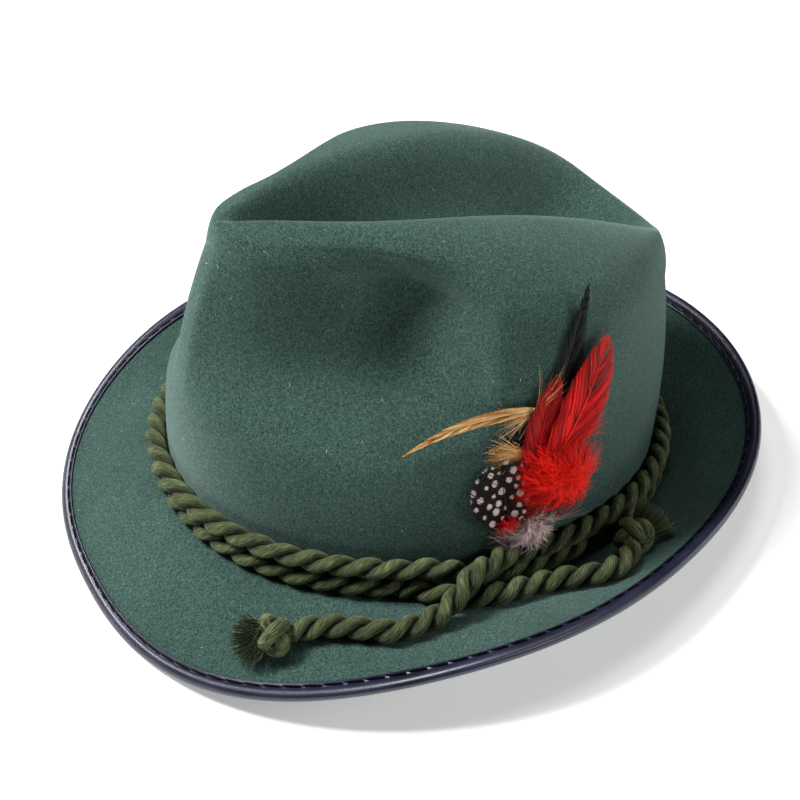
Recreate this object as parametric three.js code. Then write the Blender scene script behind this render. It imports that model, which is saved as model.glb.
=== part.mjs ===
// Tyrolean hat: a blocked felt crown and brim with a bound edge, a cord wound twice
// round the crown with two knotted free ends, and a spray of feathers on the left side.
// Millimetres, +Z up. The front of the hat faces -Y and the wearer's left is +X.
// The hat stands as it rests by itself, on the front of its edge and the back of its crown.

import * as THREE from 'three';

// Head oval and felt

const HEAD_LENGTH = 206;
const HEAD_WIDTH = 168;
const HEAD_FRONT_SHARE = 0.488;
const OVAL_POWER = 2.15;
const CROWN_HEIGHT = 124;
const CREASE_DEPTH = 30;
const CREASE_FRONT = 0.8;
const CREASE_BACK = 0.75;
const SHOULDER_POWER = 1.7;
const BRIM_WIDTH = 50;
const BRIM_CURL = 1.45;
const FELT_THICKNESS = 2;
const BREAK_RADIUS = 1.5;

// Edge binding

const ROLL_RADIUS = 2.7;
const TAPE_THICKNESS = 0.7;
const BINDING_WIDTH = 7.6;
const FELT_IN_ROLL = 1.2;
const BINDING_CLEARANCE = 0.3;

// Cord

const BAND_RADIUS = 3.8;
const TAIL_RADIUS = 4.1;
const KNOT_RADIUS = 6.8;
const CORD_CLEARANCE = 0.55;
const CORD_END_GAP = 0.5;

// Feathers

const SPRAY_SIZE = 100;
const VANE_THICKNESS = 1;
const VANE_CLEARANCE = 0.4;
const VANE_FLAT = 0.6;
const VANE_FULLNESS = 0.7;
const DOWN_THICKNESS = 7;
const LOCK_DEPTH = 0.12;

// How far the felt and its binding are pressed flat where they rest

const PRESS = 0.7;

// Number of faces

const COLUMNS = 60;
const TOP_ROWS = 5;
const SHOULDER_ROWS = 4;
const WALL_ROWS = 8;
const BREAK_ROWS = 3;
const BRIM_ROWS = 5;
const BRIM_SPACING = 1.5;
const CORD_SIDES = 8;
const BAND_STEPS = 96;
const TAIL_STEPS = 24;
const KNOT_SIDES = 12;
const VANE_STATIONS = 9;

// A table: one record for each row, with the values named by its column headings.
function table(headings, rows) {
  const names = headings.split(' ');
  return rows.map((row) => Object.fromEntries(row.map((value, i) => [names[i], value])));
}

// The hat's sections, from the front round to the back, alike on both sides.
// bearing: degrees from the front. brim: width of the brim, and lift: rise of its edge,
// as shares of BRIM_WIDTH. ridge: height of the ridge's crest, and drop: height of the
// rounded shoulder below it, as shares of CROWN_HEIGHT. ridgeSide: how far the crest lies
// beside the middle, as a share of half of HEAD_WIDTH times the bearing's sine. ridgeBack:
// how far it lies behind the middle, as a share of half of HEAD_LENGTH. shoulderOut: reach of
// the shoulder as a share of the head oval's. belly: bulge of the wall as a share of half
// of HEAD_WIDTH. crease: fall from the crest to the crease, as a share of CREASE_DEPTH.

const SECTIONS = table(
  'bearing brim lift ridge drop ridgeSide ridgeBack shoulderOut belly crease',
  [
    [0, 0.835, -0.67, 0.98, 0.08, 0.11, -0.89, 0.94, 0.087, 0.22],
    [30, 0.955, -0.485, 0.998, 0.14, 0.178, -0.79, 0.73, 0.098, 0.65],
    [60, 1.0, 0.01, 1.02, 0.195, 0.325, -0.465, 0.69, 0.083, 1.0],
    [90, 0.945, 0.29, 1.018, 0.19, 0.425, 0.0, 0.875, 0.042, 1.0],
    [120, 0.845, 0.39, 0.957, 0.163, 0.56, 0.47, 0.9, 0.021, 1.0],
    [150, 0.885, 0.56, 0.852, 0.122, 0.74, 0.79, 0.89, 0.04, 0.65],
    [180, 0.89, 0.735, 0.8, 0.11, 0.86, 0.87, 0.935, 0.052, 0.25],
  ],
);

// The front pinches, one on each side. bearing and span: middle and half span in degrees.
// up, below and above: middle height and the reach below and above it, as shares
// of CROWN_HEIGHT. depth: share of half of HEAD_WIDTH.

const PINCH = { bearing: 42, span: 38, up: 0.68, below: 0.5, above: 0.3, depth: 0.21 };

// Bearings where the wound part of the cord starts, changes from its upper turn to its
// lower one, and finishes, two turns on.

const BAND_START = 92;
const LEVEL_CHANGE = { from: 64, to: 86 };
const BAND_FINISH = 58;

// Routes of the cord's free ends, beyond the wound part. bearing: degrees from the front.
// out: millimetres outward from the head oval along the brim. rise: millimetres from
// the brim's surface to the cord's middle, more where the cord passes over itself.

const FRONT_TAIL_ROUTE = table('bearing out rise', [
  [87.2, 6.2, 12.8],
  [84.4, 7.2, 13.4],
  [81, 9.2, 14.1],
  [78, 11.4, 14.4],
  [75, 13.8, 14.4],
  [72, 16.8, 13.2],
  [69.4, 20.2, 9.8],
  [67.2, 22.2, 6.6],
  [64.5, 23.6, 4.7],
  [61, 26.0, 4.7],
  [57.4, 27.0, 4.7],
  [54, 25.6, 4.7],
  [50.8, 24.2, 4.7],
  [47.4, 23.4, 4.7],
  [44.4, 23.9, 4.7],
  [42.4, 25.4, 4.7],
  [41.0, 26.9, 4.7],
]);

const BACK_TAIL_ROUTE = table('bearing out rise', [
  [63, 7.0, 4.6],
  [65.6, 9.6, 4.7],
  [68.4, 12.2, 4.7],
  [71.6, 14.6, 4.7],
  [75, 16.2, 4.7],
  [79, 17.2, 4.7],
  [84, 17.6, 4.7],
  [88, 18.0, 4.7],
  [92, 19.4, 4.7],
  [95.4, 22.0, 4.7],
  [98.4, 25.4, 4.7],
  [101.4, 28.2, 4.7],
  [104.6, 28.8, 4.7],
  [107.8, 27.4, 4.7],
  [110.4, 25.4, 4.7],
]);

// The knots and cut brushes on the free ends, from the cord's end to the brush's.
// bearing and out as above. girth: share of KNOT_RADIUS. locks: depth of the grooves
// between the locks of yarn, as a share of the girth.

const FRONT_KNOT_STATIONS = table('bearing out girth locks', [
  [39.3, 28.8, 0.88, 0.08],
  [38.0, 29.4, 1.0, 0.1],
  [36.8, 29.9, 0.9, 0.08],
  [35.9, 30.3, 0.72, 0.06],
  [34.9, 30.8, 0.84, 0.1],
  [33.6, 31.4, 0.98, 0.14],
]);

const BACK_KNOT_STATIONS = table('bearing out girth locks', [
  [112.4, 23.5, 0.88, 0.08],
  [114.4, 21.9, 1.0, 0.1],
  [116.3, 20.9, 0.9, 0.08],
  [117.6, 20.6, 0.66, 0.06],
  [119.8, 21.4, 0.84, 0.1],
  [122.4, 23.2, 1.0, 0.14],
]);

// The spray's feathers. Along runs round the crown toward the back from the middle of the
// side, and up runs from the foot of the crown: root and tip are given along and up.
// bow: how far the shaft curves to its left, and width: greatest width of the vane, all as
// shares of SPRAY_SIZE. widest: share of the shaft where the vane is widest.
// layer: number of vanes that lie between this one and the felt.

const FEATHERS = table('name color rootAlong rootUp tipAlong tipUp bow width widest layer', [
  ['feather_black', 0x11151a, 0.012, 0.4, 0.157, 1.165, 0.01, 0.08, 0.62, 0],
  ['feather_tan', 0xd9a65c, -0.045, 0.735, -0.519, 0.572, -0.04, 0.066, 0.4, 0],
  ['feather_dark', 0x15181c, -0.06, 0.635, -0.2, 0.635, -0.01, 0.05, 0.5, 0],
  ['feather_red_short', 0x8c0f0c, 0.006, 0.34, 0.03, 0.84, 0.02, 0.1, 0.55, 1],
  ['feather_red_long', 0xc4120e, -0.014, 0.39, 0.262, 0.955, -0.03, 0.155, 0.62, 2],
  ['feather_tuft', 0xcf9d62, -0.1, 0.56, -0.25, 0.6, -0.01, 0.055, 0.5, 0],
  ['feather_spotted', 0x3a2622, -0.08, 0.27, -0.2, 0.555, 0.01, 0.235, 0.5, 1],
]);

// The spray's tufts of down, flat toward the felt and domed outward. Middle and reach are
// given along and up, as shares of SPRAY_SIZE. locks: number of locks round the tuft.
// thick: share of DOWN_THICKNESS. layer as above.

const DOWN_TUFTS = table('name color middleAlong middleUp reachAlong reachUp locks layer thick', [
  ['fluff_red', 0xc4120e, 0.1, 0.42, 0.165, 0.15, 11, 3, 1.0],
  ['fluff_pale', 0xb08b8b, -0.03, 0.235, 0.1, 0.055, 7, 0, 0.7],
]);

// The rings of a tuft, from its domed front to its flat back. reach: share of the tuft's
// reach, and off: share of its thickness.

const TUFT_RINGS = table('reach off', [
  [0.45, 0.85],
  [0.8, 0.5],
  [1, 0.15],
  [0.95, 0],
  [0.5, 0],
]);

const FELT_COLOR = 0x32504a;
const BINDING_COLOR = 0x2b2a3b;
const CORD_COLOR = 0x5a693c;

// Shapes of the hat's sections

const radians = (degrees) => (degrees * Math.PI) / 180;

// Degrees from the front, on either side.
const fromFront = (bearing) => Math.abs(((bearing + 180) % 360) - 180);

// A raised cosine: 1 at the middle, 0 at a reach of 1 and beyond.
function bump(x) {
  return Math.abs(x) < 1 ? 0.5 + 0.5 * Math.cos(Math.PI * x) : 0;
}

// The value of one column of SECTIONS at any bearing: the cosine series, even about the
// front and the back, that passes through each row.
function around(column, bearing) {
  const last = SECTIONS.length - 1;
  const angle = radians(fromFront(bearing));
  let total = 0;
  for (let wave = 0; wave <= last; wave++) {
    let strength = 0;
    SECTIONS.forEach((section, row) => {
      const weight = row % last === 0 ? 0.5 : 1;
      strength += weight * section[column] * Math.cos((Math.PI * wave * row) / last);
    });
    const weight = wave % last === 0 ? 0.5 : 1;
    total += (2 / last) * weight * strength * Math.cos(wave * angle);
  }
  return total;
}

// Reach of the head oval, a superellipse that is longer behind the ears.
function headReach(bearing) {
  const angle = radians(bearing);
  const share = Math.cos(angle) > 0 ? HEAD_FRONT_SHARE : 1 - HEAD_FRONT_SHARE;
  const lengthwise = Math.abs(Math.cos(angle)) / (HEAD_LENGTH * share);
  const crosswise = Math.abs(Math.sin(angle)) / (HEAD_WIDTH / 2);
  return (lengthwise ** OVAL_POWER + crosswise ** OVAL_POWER) ** (-1 / OVAL_POWER);
}

const ridgeHeight = (bearing) => around('ridge', bearing) * CROWN_HEIGHT;
const shoulderDrop = (bearing) => around('drop', bearing) * CROWN_HEIGHT;
const wallHeight = (bearing) => ridgeHeight(bearing) - shoulderDrop(bearing);
const brimWidth = (bearing) => around('brim', bearing) * BRIM_WIDTH;
const edgeLift = (bearing) => around('lift', bearing) * BRIM_WIDTH;

// Depth of the pinches at a height on either side of the crown.
function pinchDepth(bearing, up) {
  const rise = up / CROWN_HEIGHT - PINCH.up;
  const reach = rise < 0 ? PINCH.below : PINCH.above;
  const depth = bump((fromFront(bearing) - PINCH.bearing) / PINCH.span) * bump(rise / reach);
  return (depth * PINCH.depth * HEAD_WIDTH) / 2;
}

// Reach of the plain wall, without its pinches, at a height. It may run on above its shoulder.
function wallReach(bearing, up) {
  const head = headReach(bearing);
  const share = up / wallHeight(bearing);
  const lean = (around('shoulderOut', bearing) - 1) * head * share;
  const belly = around('belly', bearing) * (HEAD_WIDTH / 2) * 4 * share * (1 - share);
  return head + lean + belly;
}

// Points of the crown's top as x, y and height, before the hat is tipped.

function ridgePoint(bearing) {
  return {
    x: around('ridgeSide', bearing) * Math.sin(radians(bearing)) * (HEAD_WIDTH / 2),
    y: around('ridgeBack', bearing) * (HEAD_LENGTH / 2),
    up: ridgeHeight(bearing),
  };
}

// From the crease's middle line, which runs from front to back, up to the ridge.
function topPoint(bearing, share) {
  const { x, y, up } = ridgePoint(bearing);
  const foot = y * (y < 0 ? CREASE_FRONT : CREASE_BACK);
  const fall = 0.5 + 0.5 * Math.cos(Math.PI * share);
  return {
    x: x * share,
    y: foot + (y - foot) * share,
    up: up - around('crease', bearing) * CREASE_DEPTH * fall,
  };
}

// A quarter of a superellipse from the ridge down to the wall, less the pinch.
function shoulderPoint(bearing, turn) {
  const { x, y, up: top } = ridgePoint(bearing);
  const across = Math.max(0, Math.cos(turn)) ** (2 / SHOULDER_POWER);
  const up = top - shoulderDrop(bearing) * (1 - Math.sin(turn) ** (2 / SHOULDER_POWER));
  const outer = around('shoulderOut', bearing) * headReach(bearing);
  const side = Math.sin(radians(bearing));
  const ahead = Math.cos(radians(bearing));
  const pinch = pinchDepth(bearing, up);
  return {
    x: x + (outer * side - x) * across - pinch * side,
    y: y - (outer * ahead + y) * across + pinch * ahead,
    up,
  };
}

// Points of the rest of the felt's outer skin as reach and height.

function wallPoint(bearing, share) {
  const up = BREAK_RADIUS + (wallHeight(bearing) - BREAK_RADIUS) * share;
  return { reach: wallReach(bearing, up) - pinchDepth(bearing, up), up };
}

function breakPoint(bearing, turn) {
  const up = BREAK_RADIUS * (1 - Math.sin(turn));
  return { reach: wallReach(bearing, up) + BREAK_RADIUS * (1 - Math.cos(turn)), up };
}

function brimPoint(bearing, out) {
  const share = Math.max(0, (out - BREAK_RADIUS) / (brimWidth(bearing) - BREAK_RADIUS));
  return { reach: headReach(bearing) + out, up: edgeLift(bearing) * share ** BRIM_CURL };
}

// Rise of the brim per millimetre outward.
function brimSlope(bearing, out) {
  const width = brimWidth(bearing) - BREAK_RADIUS;
  const share = Math.max(0, (out - BREAK_RADIUS) / width);
  return (edgeLift(bearing) * BRIM_CURL * share ** (BRIM_CURL - 1)) / width;
}

// A point off the brim's upper surface, along its normal.
function offBrim(bearing, out, rise) {
  const slope = brimSlope(bearing, out);
  const length = Math.hypot(1, slope);
  const foot = brimPoint(bearing, out);
  return { reach: foot.reach - (slope * rise) / length, up: foot.up + rise / length };
}

// A point beside the middle of the roll at the hat's edge: outward in line with the brim
// and upward across it.
function besideRoll(bearing, outward, upward) {
  const out = brimWidth(bearing) - ROLL_RADIUS;
  const slope = brimSlope(bearing, out);
  const length = Math.hypot(1, slope);
  const middle = offBrim(bearing, out, -FELT_THICKNESS / 2);
  return {
    reach: middle.reach + (outward - upward * slope) / length,
    up: middle.up + (outward * slope + upward) / length,
  };
}

// How the hat rests: tipped back until the front of its edge and the back of the crown's
// foot are level, and lifted until both press into the surface.

const FRONT_FOOT = besideRoll(0, 0, -ROLL_RADIUS);
const BACK_FOOT = offBrim(180, BREAK_RADIUS, -FELT_THICKNESS);
const REST_TILT = Math.atan2(BACK_FOOT.up - FRONT_FOOT.up, FRONT_FOOT.reach + BACK_FOOT.reach);
const REST_LIFT = BACK_FOOT.reach * Math.sin(REST_TILT) - BACK_FOOT.up * Math.cos(REST_TILT) - PRESS;

function tipBack({ x, y, up }) {
  return new THREE.Vector3(
    x,
    y * Math.cos(REST_TILT) + up * Math.sin(REST_TILT),
    up * Math.cos(REST_TILT) - y * Math.sin(REST_TILT) + REST_LIFT,
  );
}

function rest(bearing, { reach, up }) {
  return tipBack({ x: reach * Math.sin(radians(bearing)), y: -reach * Math.cos(radians(bearing)), up });
}

// Points pressed flat where they would reach below the surface.
const pressed = (rings) => rings.map((ring) => ring.map((point) => point.setZ(Math.max(point.z, 0))));

// Solids from rings of points. Each ring has as many points as the next, or is a single
// point that closes an end. A loop joins its last ring to its first. Where a ring is folded
// flat, its two sides share their points.
function ringSolid(rings, loop = false) {
  const points = [...new Set(rings.flat())];
  const numbers = new Map(points.map((point, number) => [point, number]));
  const faces = [];
  const pairs = loop ? rings.length : rings.length - 1;
  for (let i = 0; i < pairs; i++) {
    const next = (i + 1) % rings.length;
    const count = Math.max(rings[i].length, rings[next].length);
    for (let j = 0; j < count; j++) {
      const k = (j + 1) % count;
      const here = rings[i].length > 1;
      const there = rings[next].length > 1;
      const a = numbers.get(rings[i][here ? j : 0]);
      const b = numbers.get(rings[i][here ? k : 0]);
      const c = numbers.get(rings[next][there ? k : 0]);
      const d = numbers.get(rings[next][there ? j : 0]);
      if (there) faces.push(a, d, c);
      if (here) faces.push(a, c, b);
    }
  }
  const geometry = new THREE.BufferGeometry().setFromPoints(points);
  geometry.setIndex(faces);
  geometry.computeVertexNormals();
  return geometry;
}

const BEARINGS = Array.from({ length: COLUMNS }, (_, column) => (360 * column) / COLUMNS);

// Felt body

function feltStations() {
  const stations = [];
  for (let row = 1; row < TOP_ROWS; row++) {
    stations.push((bearing) => tipBack(topPoint(bearing, row / TOP_ROWS)));
  }
  for (let row = SHOULDER_ROWS; row > 0; row--) {
    const turn = ((Math.PI / 2) * row) / SHOULDER_ROWS;
    stations.push((bearing) => tipBack(shoulderPoint(bearing, turn)));
  }
  for (let row = WALL_ROWS; row > 0; row--) {
    stations.push((bearing) => rest(bearing, wallPoint(bearing, row / WALL_ROWS)));
  }
  for (let row = 0; row < BREAK_ROWS; row++) {
    const turn = ((Math.PI / 2) * row) / BREAK_ROWS;
    stations.push((bearing) => rest(bearing, breakPoint(bearing, turn)));
  }
  const lip = BINDING_WIDTH + BINDING_CLEARANCE;
  for (let row = 0; row < BRIM_ROWS; row++) {
    stations.push((bearing) => {
      const reach = brimWidth(bearing) - lip - BREAK_RADIUS;
      const out = BREAK_RADIUS + reach * (row / BRIM_ROWS) ** BRIM_SPACING;
      return rest(bearing, brimPoint(bearing, out));
    });
  }
  for (const outward of [ROLL_RADIUS - lip, -FELT_IN_ROLL]) {
    stations.push((bearing) => rest(bearing, besideRoll(bearing, outward, FELT_THICKNESS / 2)));
  }
  return stations;
}

// The inner skin lies one thickness inside the outer one, square to it. Both start from
// the crease's middle line, a ring that is folded flat.
function feltBody() {
  const middle = BEARINGS.map((bearing) => tipBack(topPoint(bearing, 0)));
  const innerMiddle = middle.map((point) => point.clone().setZ(point.z - FELT_THICKNESS));
  const folded = (line) => line.map((point, j) => line[Math.min(j, COLUMNS - j)]);
  const start = folded(middle);
  const outer = feltStations().map((station) => BEARINGS.map(station));
  const inner = outer.map((ring, i) =>
    ring.map((point, j) => {
      const before = i > 0 ? outer[i - 1][j] : start[j];
      const after = outer[Math.min(i + 1, outer.length - 1)][j];
      const left = ring[(j + COLUMNS - 1) % COLUMNS];
      const right = ring[(j + 1) % COLUMNS];
      const down = after.clone().sub(before);
      const inward = right.clone().sub(left).cross(down).normalize();
      return point.clone().addScaledVector(inward, FELT_THICKNESS);
    }),
  );
  return ringSolid(pressed([start, ...outer, ...inner.reverse(), folded(innerMiddle)]));
}

// Edge binding: a padded roll with a lip of tape above and below the felt.

function bindingSection() {
  const slot = FELT_THICKNESS / 2 + BINDING_CLEARANCE;
  const lipEnd = ROLL_RADIUS - BINDING_WIDTH;
  const slotEnd = BINDING_CLEARANCE - FELT_IN_ROLL;
  const roll = [-135, -90, -45, 0, 45, 90, 135].map((turn) => [
    ROLL_RADIUS * Math.cos(radians(turn)),
    ROLL_RADIUS * Math.sin(radians(turn)),
  ]);
  return [
    [slotEnd, -slot],
    [lipEnd, -slot],
    [lipEnd, -slot - TAPE_THICKNESS],
    ...roll,
    [lipEnd, slot + TAPE_THICKNESS],
    [lipEnd, slot],
    [slotEnd, slot],
  ];
}

function edgeBinding() {
  const section = bindingSection();
  const rings = BEARINGS.map((bearing) =>
    section.map(([outward, upward]) => rest(bearing, besideRoll(bearing, outward, upward))),
  );
  return ringSolid(pressed(rings), true);
}

// Cord

// Where the cord's two turns lie: the lower one on the brim, the upper one between it
// and the wall. level: 0 for the lower turn, 1 for the upper.
function bandPoint(bearing, level) {
  const seat = BAND_RADIUS + CORD_CLEARANCE;
  const fromWall = BAND_RADIUS + 1.5 * CORD_CLEARANCE;
  const pitch = 2 * BAND_RADIUS + CORD_CLEARANCE;
  const beside = wallReach(bearing, seat) - headReach(bearing) + fromWall;
  const low = offBrim(bearing, beside + seat * brimSlope(bearing, beside), seat);
  const highOut = wallReach(bearing, low.up + pitch * 0.8) + fromWall;
  const step = low.reach - highOut;
  const high = { reach: highOut, up: low.up + Math.sqrt(pitch ** 2 - step ** 2) };
  return {
    reach: low.reach + (high.reach - low.reach) * level,
    up: low.up + (high.up - low.up) * level,
  };
}

function bandRoute() {
  const finish = BAND_FINISH + 720;
  const points = [];
  for (let step = 0; step <= BAND_STEPS; step++) {
    const bearing = BAND_START + ((finish - BAND_START) * step) / BAND_STEPS;
    const turned = THREE.MathUtils.smoothstep(bearing, 360 + LEVEL_CHANGE.from, 360 + LEVEL_CHANGE.to);
    points.push(rest(bearing, bandPoint(bearing, 1 - turned)));
  }
  return points;
}

// A free end leaves the wound part in line with it: its first two points lie in the band's
// seat, `step` degrees apart.
function tailRoute(bearing, step, level, route) {
  const seats = [bearing, bearing + step].map((at) => rest(at, bandPoint(at, level)));
  const free = route.map((row) => rest(row.bearing, offBrim(row.bearing, row.out, row.rise)));
  return [...seats, ...free];
}

// A plain round tube along a smooth curve through the points, a little short at both ends.
function tube(points, radius, steps) {
  const whole = new THREE.CatmullRomCurve3(points, false, 'centripetal');
  const trim = CORD_END_GAP / 2 / whole.getLength();
  const path = new THREE.Curve();
  path.getPoint = (t, target) => whole.getPointAt(trim + (1 - 2 * trim) * t, target);
  const section = new THREE.Shape();
  for (let side = 0; side < CORD_SIDES; side++) {
    const turn = (2 * Math.PI * side) / CORD_SIDES;
    const corner = [radius * Math.cos(turn), radius * Math.sin(turn)];
    if (side === 0) section.moveTo(...corner);
    else section.lineTo(...corner);
  }
  return new THREE.ExtrudeGeometry(section, { steps, extrudePath: path, bevelEnabled: false });
}

// A knot and its brush: a solid that starts square to the end of its cord and goes on along
// its stations, each with a middle, a girth and locks round it.
function knot(cord, stations) {
  const lockCount = KNOT_SIDES / 2;
  const end = cord[cord.length - 1];
  const onward = end.clone().sub(cord[cord.length - 2]).normalize();
  const start = end.clone().addScaledVector(onward, CORD_END_GAP / 2);
  const joint = { middle: start, girth: TAIL_RADIUS, locks: 0 };
  const rows = stations.map(({ bearing, out, girth, locks }) => {
    const radius = girth * KNOT_RADIUS;
    const rise = radius * (1 + locks) + CORD_CLEARANCE;
    return { middle: rest(bearing, offBrim(bearing, out, rise)), girth: radius, locks };
  });
  const all = [joint, ...rows];
  const rings = all.map((row, i) => {
    const before = all[Math.max(i - 1, 0)].middle;
    const after = all[Math.min(i + 1, all.length - 1)].middle;
    const along = i === 0 ? onward : after.clone().sub(before).normalize();
    const side = new THREE.Vector3(0, 0, 1).cross(along).normalize();
    const upward = along.clone().cross(side);
    return Array.from({ length: KNOT_SIDES }, (_, k) => {
      const turn = (2 * Math.PI * k) / KNOT_SIDES;
      const girth = row.girth * (1 + row.locks * Math.cos(lockCount * turn));
      return row.middle
        .clone()
        .addScaledVector(upward, girth * Math.cos(turn))
        .addScaledVector(side, girth * Math.sin(turn));
    });
  });
  return ringSolid([[joint.middle], ...rings, [all[all.length - 1].middle]]);
}

// Feathers

// A point of the spray over the crown's wall on the wearer's left. along and up in
// millimetres, off: distance from the felt.
function sprayPoint(along, up, off) {
  const bearing = 90 + THREE.MathUtils.radToDeg(along / (HEAD_WIDTH / 2));
  const rise = 0.5;
  const slope = (wallReach(bearing, up + rise) - wallReach(bearing, up - rise)) / (2 * rise);
  const length = Math.hypot(1, slope);
  const reach = wallReach(bearing, up) + off / length;
  return rest(bearing, { reach, up: up - (slope * off) / length });
}

const layerFoot = (layer) => VANE_CLEARANCE + layer * (VANE_THICKNESS + VANE_CLEARANCE);

// A vane: wide at its share `widest`, pointed at both ends, thin at its edges.
function feather(row) {
  const root = new THREE.Vector2(row.rootAlong, row.rootUp).multiplyScalar(SPRAY_SIZE);
  const tip = new THREE.Vector2(row.tipAlong, row.tipUp).multiplyScalar(SPRAY_SIZE);
  const shaft = tip.clone().sub(root);
  const across = new THREE.Vector2(-shaft.y, shaft.x).normalize();
  const middle = layerFoot(row.layer) + VANE_THICKNESS / 2;
  const power = Math.log(0.5) / Math.log(row.widest);
  const ring = (share) => {
    const bow = 4 * share * (1 - share) * row.bow * SPRAY_SIZE;
    const fullness = Math.sin(Math.PI * share ** power) ** VANE_FULLNESS;
    const half = (fullness * row.width * SPRAY_SIZE) / 2;
    const centre = root.clone().addScaledVector(shaft, share).addScaledVector(across, bow);
    const thick = VANE_THICKNESS / 2;
    const at = (side, off) => {
      const point = centre.clone().addScaledVector(across, side * half);
      return sprayPoint(point.x, point.y, middle + off);
    };
    return [
      at(-VANE_FLAT, thick),
      at(VANE_FLAT, thick),
      at(1, 0),
      at(VANE_FLAT, -thick),
      at(-VANE_FLAT, -thick),
      at(-1, 0),
    ];
  };
  const rings = [];
  for (let i = 1; i < VANE_STATIONS; i++) rings.push(ring(i / VANE_STATIONS));
  return ringSolid([
    [sprayPoint(root.x, root.y, middle)],
    ...rings,
    [sprayPoint(tip.x, tip.y, middle)],
  ]);
}

// A tuft of down: locks round a middle, flat at the back and domed at the front.
function downTuft(row) {
  const sides = 2 * row.locks;
  const foot = layerFoot(row.layer);
  const thick = DOWN_THICKNESS * row.thick;
  const at = (along, up, off) => sprayPoint(along * SPRAY_SIZE, up * SPRAY_SIZE, foot + off * thick);
  const rings = TUFT_RINGS.map(({ reach, off }) =>
    Array.from({ length: sides }, (_, k) => {
      const turn = (2 * Math.PI * k) / sides;
      const lock = reach * (1 + (k % 2 === 0 ? LOCK_DEPTH : -LOCK_DEPTH) * reach);
      const along = row.middleAlong + row.reachAlong * lock * Math.cos(turn);
      return at(along, row.middleUp + row.reachUp * lock * Math.sin(turn), off);
    }),
  );
  const { middleAlong, middleUp } = row;
  return ringSolid([[at(middleAlong, middleUp, 1)], ...rings, [at(middleAlong, middleUp, 0)]]);
}

// The hat

const hat = new THREE.Group();

function add(name, geometry, color, roughness) {
  const material = new THREE.MeshStandardMaterial({ color, roughness, metalness: 0 });
  const mesh = new THREE.Mesh(geometry, material);
  mesh.name = name;
  hat.add(mesh);
  return mesh;
}

add('felt_body', feltBody(), FELT_COLOR, 0.95);
const binding = add('edge_binding', edgeBinding(), BINDING_COLOR, 0.35);
add('cord_band', tube(bandRoute(), BAND_RADIUS, BAND_STEPS), CORD_COLOR, 0.8);
const frontTail = tailRoute(BAND_START, -2.4, 1, FRONT_TAIL_ROUTE);
const backTail = tailRoute(BAND_FINISH, 2.4, 0, BACK_TAIL_ROUTE);
add('cord_tail_front', tube(frontTail, TAIL_RADIUS, TAIL_STEPS), CORD_COLOR, 0.8);
add('cord_tail_back', tube(backTail, TAIL_RADIUS, TAIL_STEPS), CORD_COLOR, 0.8);
add('cord_knot_front', knot(frontTail, FRONT_KNOT_STATIONS), CORD_COLOR, 0.85);
add('cord_knot_back', knot(backTail, BACK_KNOT_STATIONS), CORD_COLOR, 0.85);
for (const row of FEATHERS) add(row.name, feather(row), row.color, 0.5);
for (const row of DOWN_TUFTS) add(row.name, downTuft(row), row.color, 0.9);

// The origin lies on the surface, under the middle of the hat's length.
const outline = new THREE.Box3().setFromObject(binding);
hat.position.y = -(outline.min.y + outline.max.y) / 2;

export default hat;
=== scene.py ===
# %% [markdown]
# # A tyrolean hat
# This lesson dresses the plain model of a felt hat. The real hat is one piece of blocked
# felt, a tape sewn round its edge, a twisted cord wound twice round the crown, and a
# spray of feathers. Each surface is worked out from a few named sizes, as a hatter works
# from a block, so that every visible piece lies where the plain model has it.

import bpy
import numpy as np
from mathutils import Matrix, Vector


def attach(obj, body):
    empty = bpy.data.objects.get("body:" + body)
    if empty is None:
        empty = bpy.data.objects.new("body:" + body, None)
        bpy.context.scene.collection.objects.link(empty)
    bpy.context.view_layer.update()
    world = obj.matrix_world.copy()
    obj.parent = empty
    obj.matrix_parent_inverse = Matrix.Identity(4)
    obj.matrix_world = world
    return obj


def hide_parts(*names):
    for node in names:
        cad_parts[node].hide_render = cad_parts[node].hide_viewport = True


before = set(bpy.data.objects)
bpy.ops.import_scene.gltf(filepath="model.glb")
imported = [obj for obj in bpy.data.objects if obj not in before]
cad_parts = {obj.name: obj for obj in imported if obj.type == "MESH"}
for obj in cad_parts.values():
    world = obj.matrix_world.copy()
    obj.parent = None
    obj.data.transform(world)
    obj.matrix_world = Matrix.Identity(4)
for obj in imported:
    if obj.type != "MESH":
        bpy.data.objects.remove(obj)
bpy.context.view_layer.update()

MM = 0.001
chance = np.random.default_rng(11)

# %% [markdown]
# ## The camera
# The photograph looks at the wearer's left side, a little from the front and from above.
# The camera stands at that angle and distance, so that near and far parts of the hat
# keep the proportions that they have there.

# %% Camera
CAMERA_AZIMUTH = 61.1
CAMERA_ELEVATION = 38.7
CAMERA_DISTANCE = 0.620
CAMERA_LENS = 63.8
CAMERA_TARGET = Vector((-0.0254, 0.0051, 0.0167))

turn, climb = np.radians(CAMERA_AZIMUTH), np.radians(CAMERA_ELEVATION)
back = Vector((np.cos(climb) * np.sin(turn), -np.cos(climb) * np.cos(turn), np.sin(climb)))
camera = bpy.data.objects.new("camera", bpy.data.cameras.new("camera"))
camera.data.lens = CAMERA_LENS
camera.location = CAMERA_TARGET + back * CAMERA_DISTANCE
camera.rotation_euler = back.to_track_quat("Z", "Y").to_euler()
bpy.context.collection.objects.link(camera)
bpy.context.scene.camera = camera
print("camera at, mm:", [round(v / MM) for v in camera.location])

# %% [markdown]
# ## The hat's sizes
# All lengths are in millimetres and every angle is a bearing in degrees round the head,
# from the front toward the wearer's left. A table gives the hat's sections: how wide the
# brim is and how far its edge rises, how high the ridge stands, and so on. Between the
# rows a cosine series runs smoothly, the same on both sides.

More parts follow.
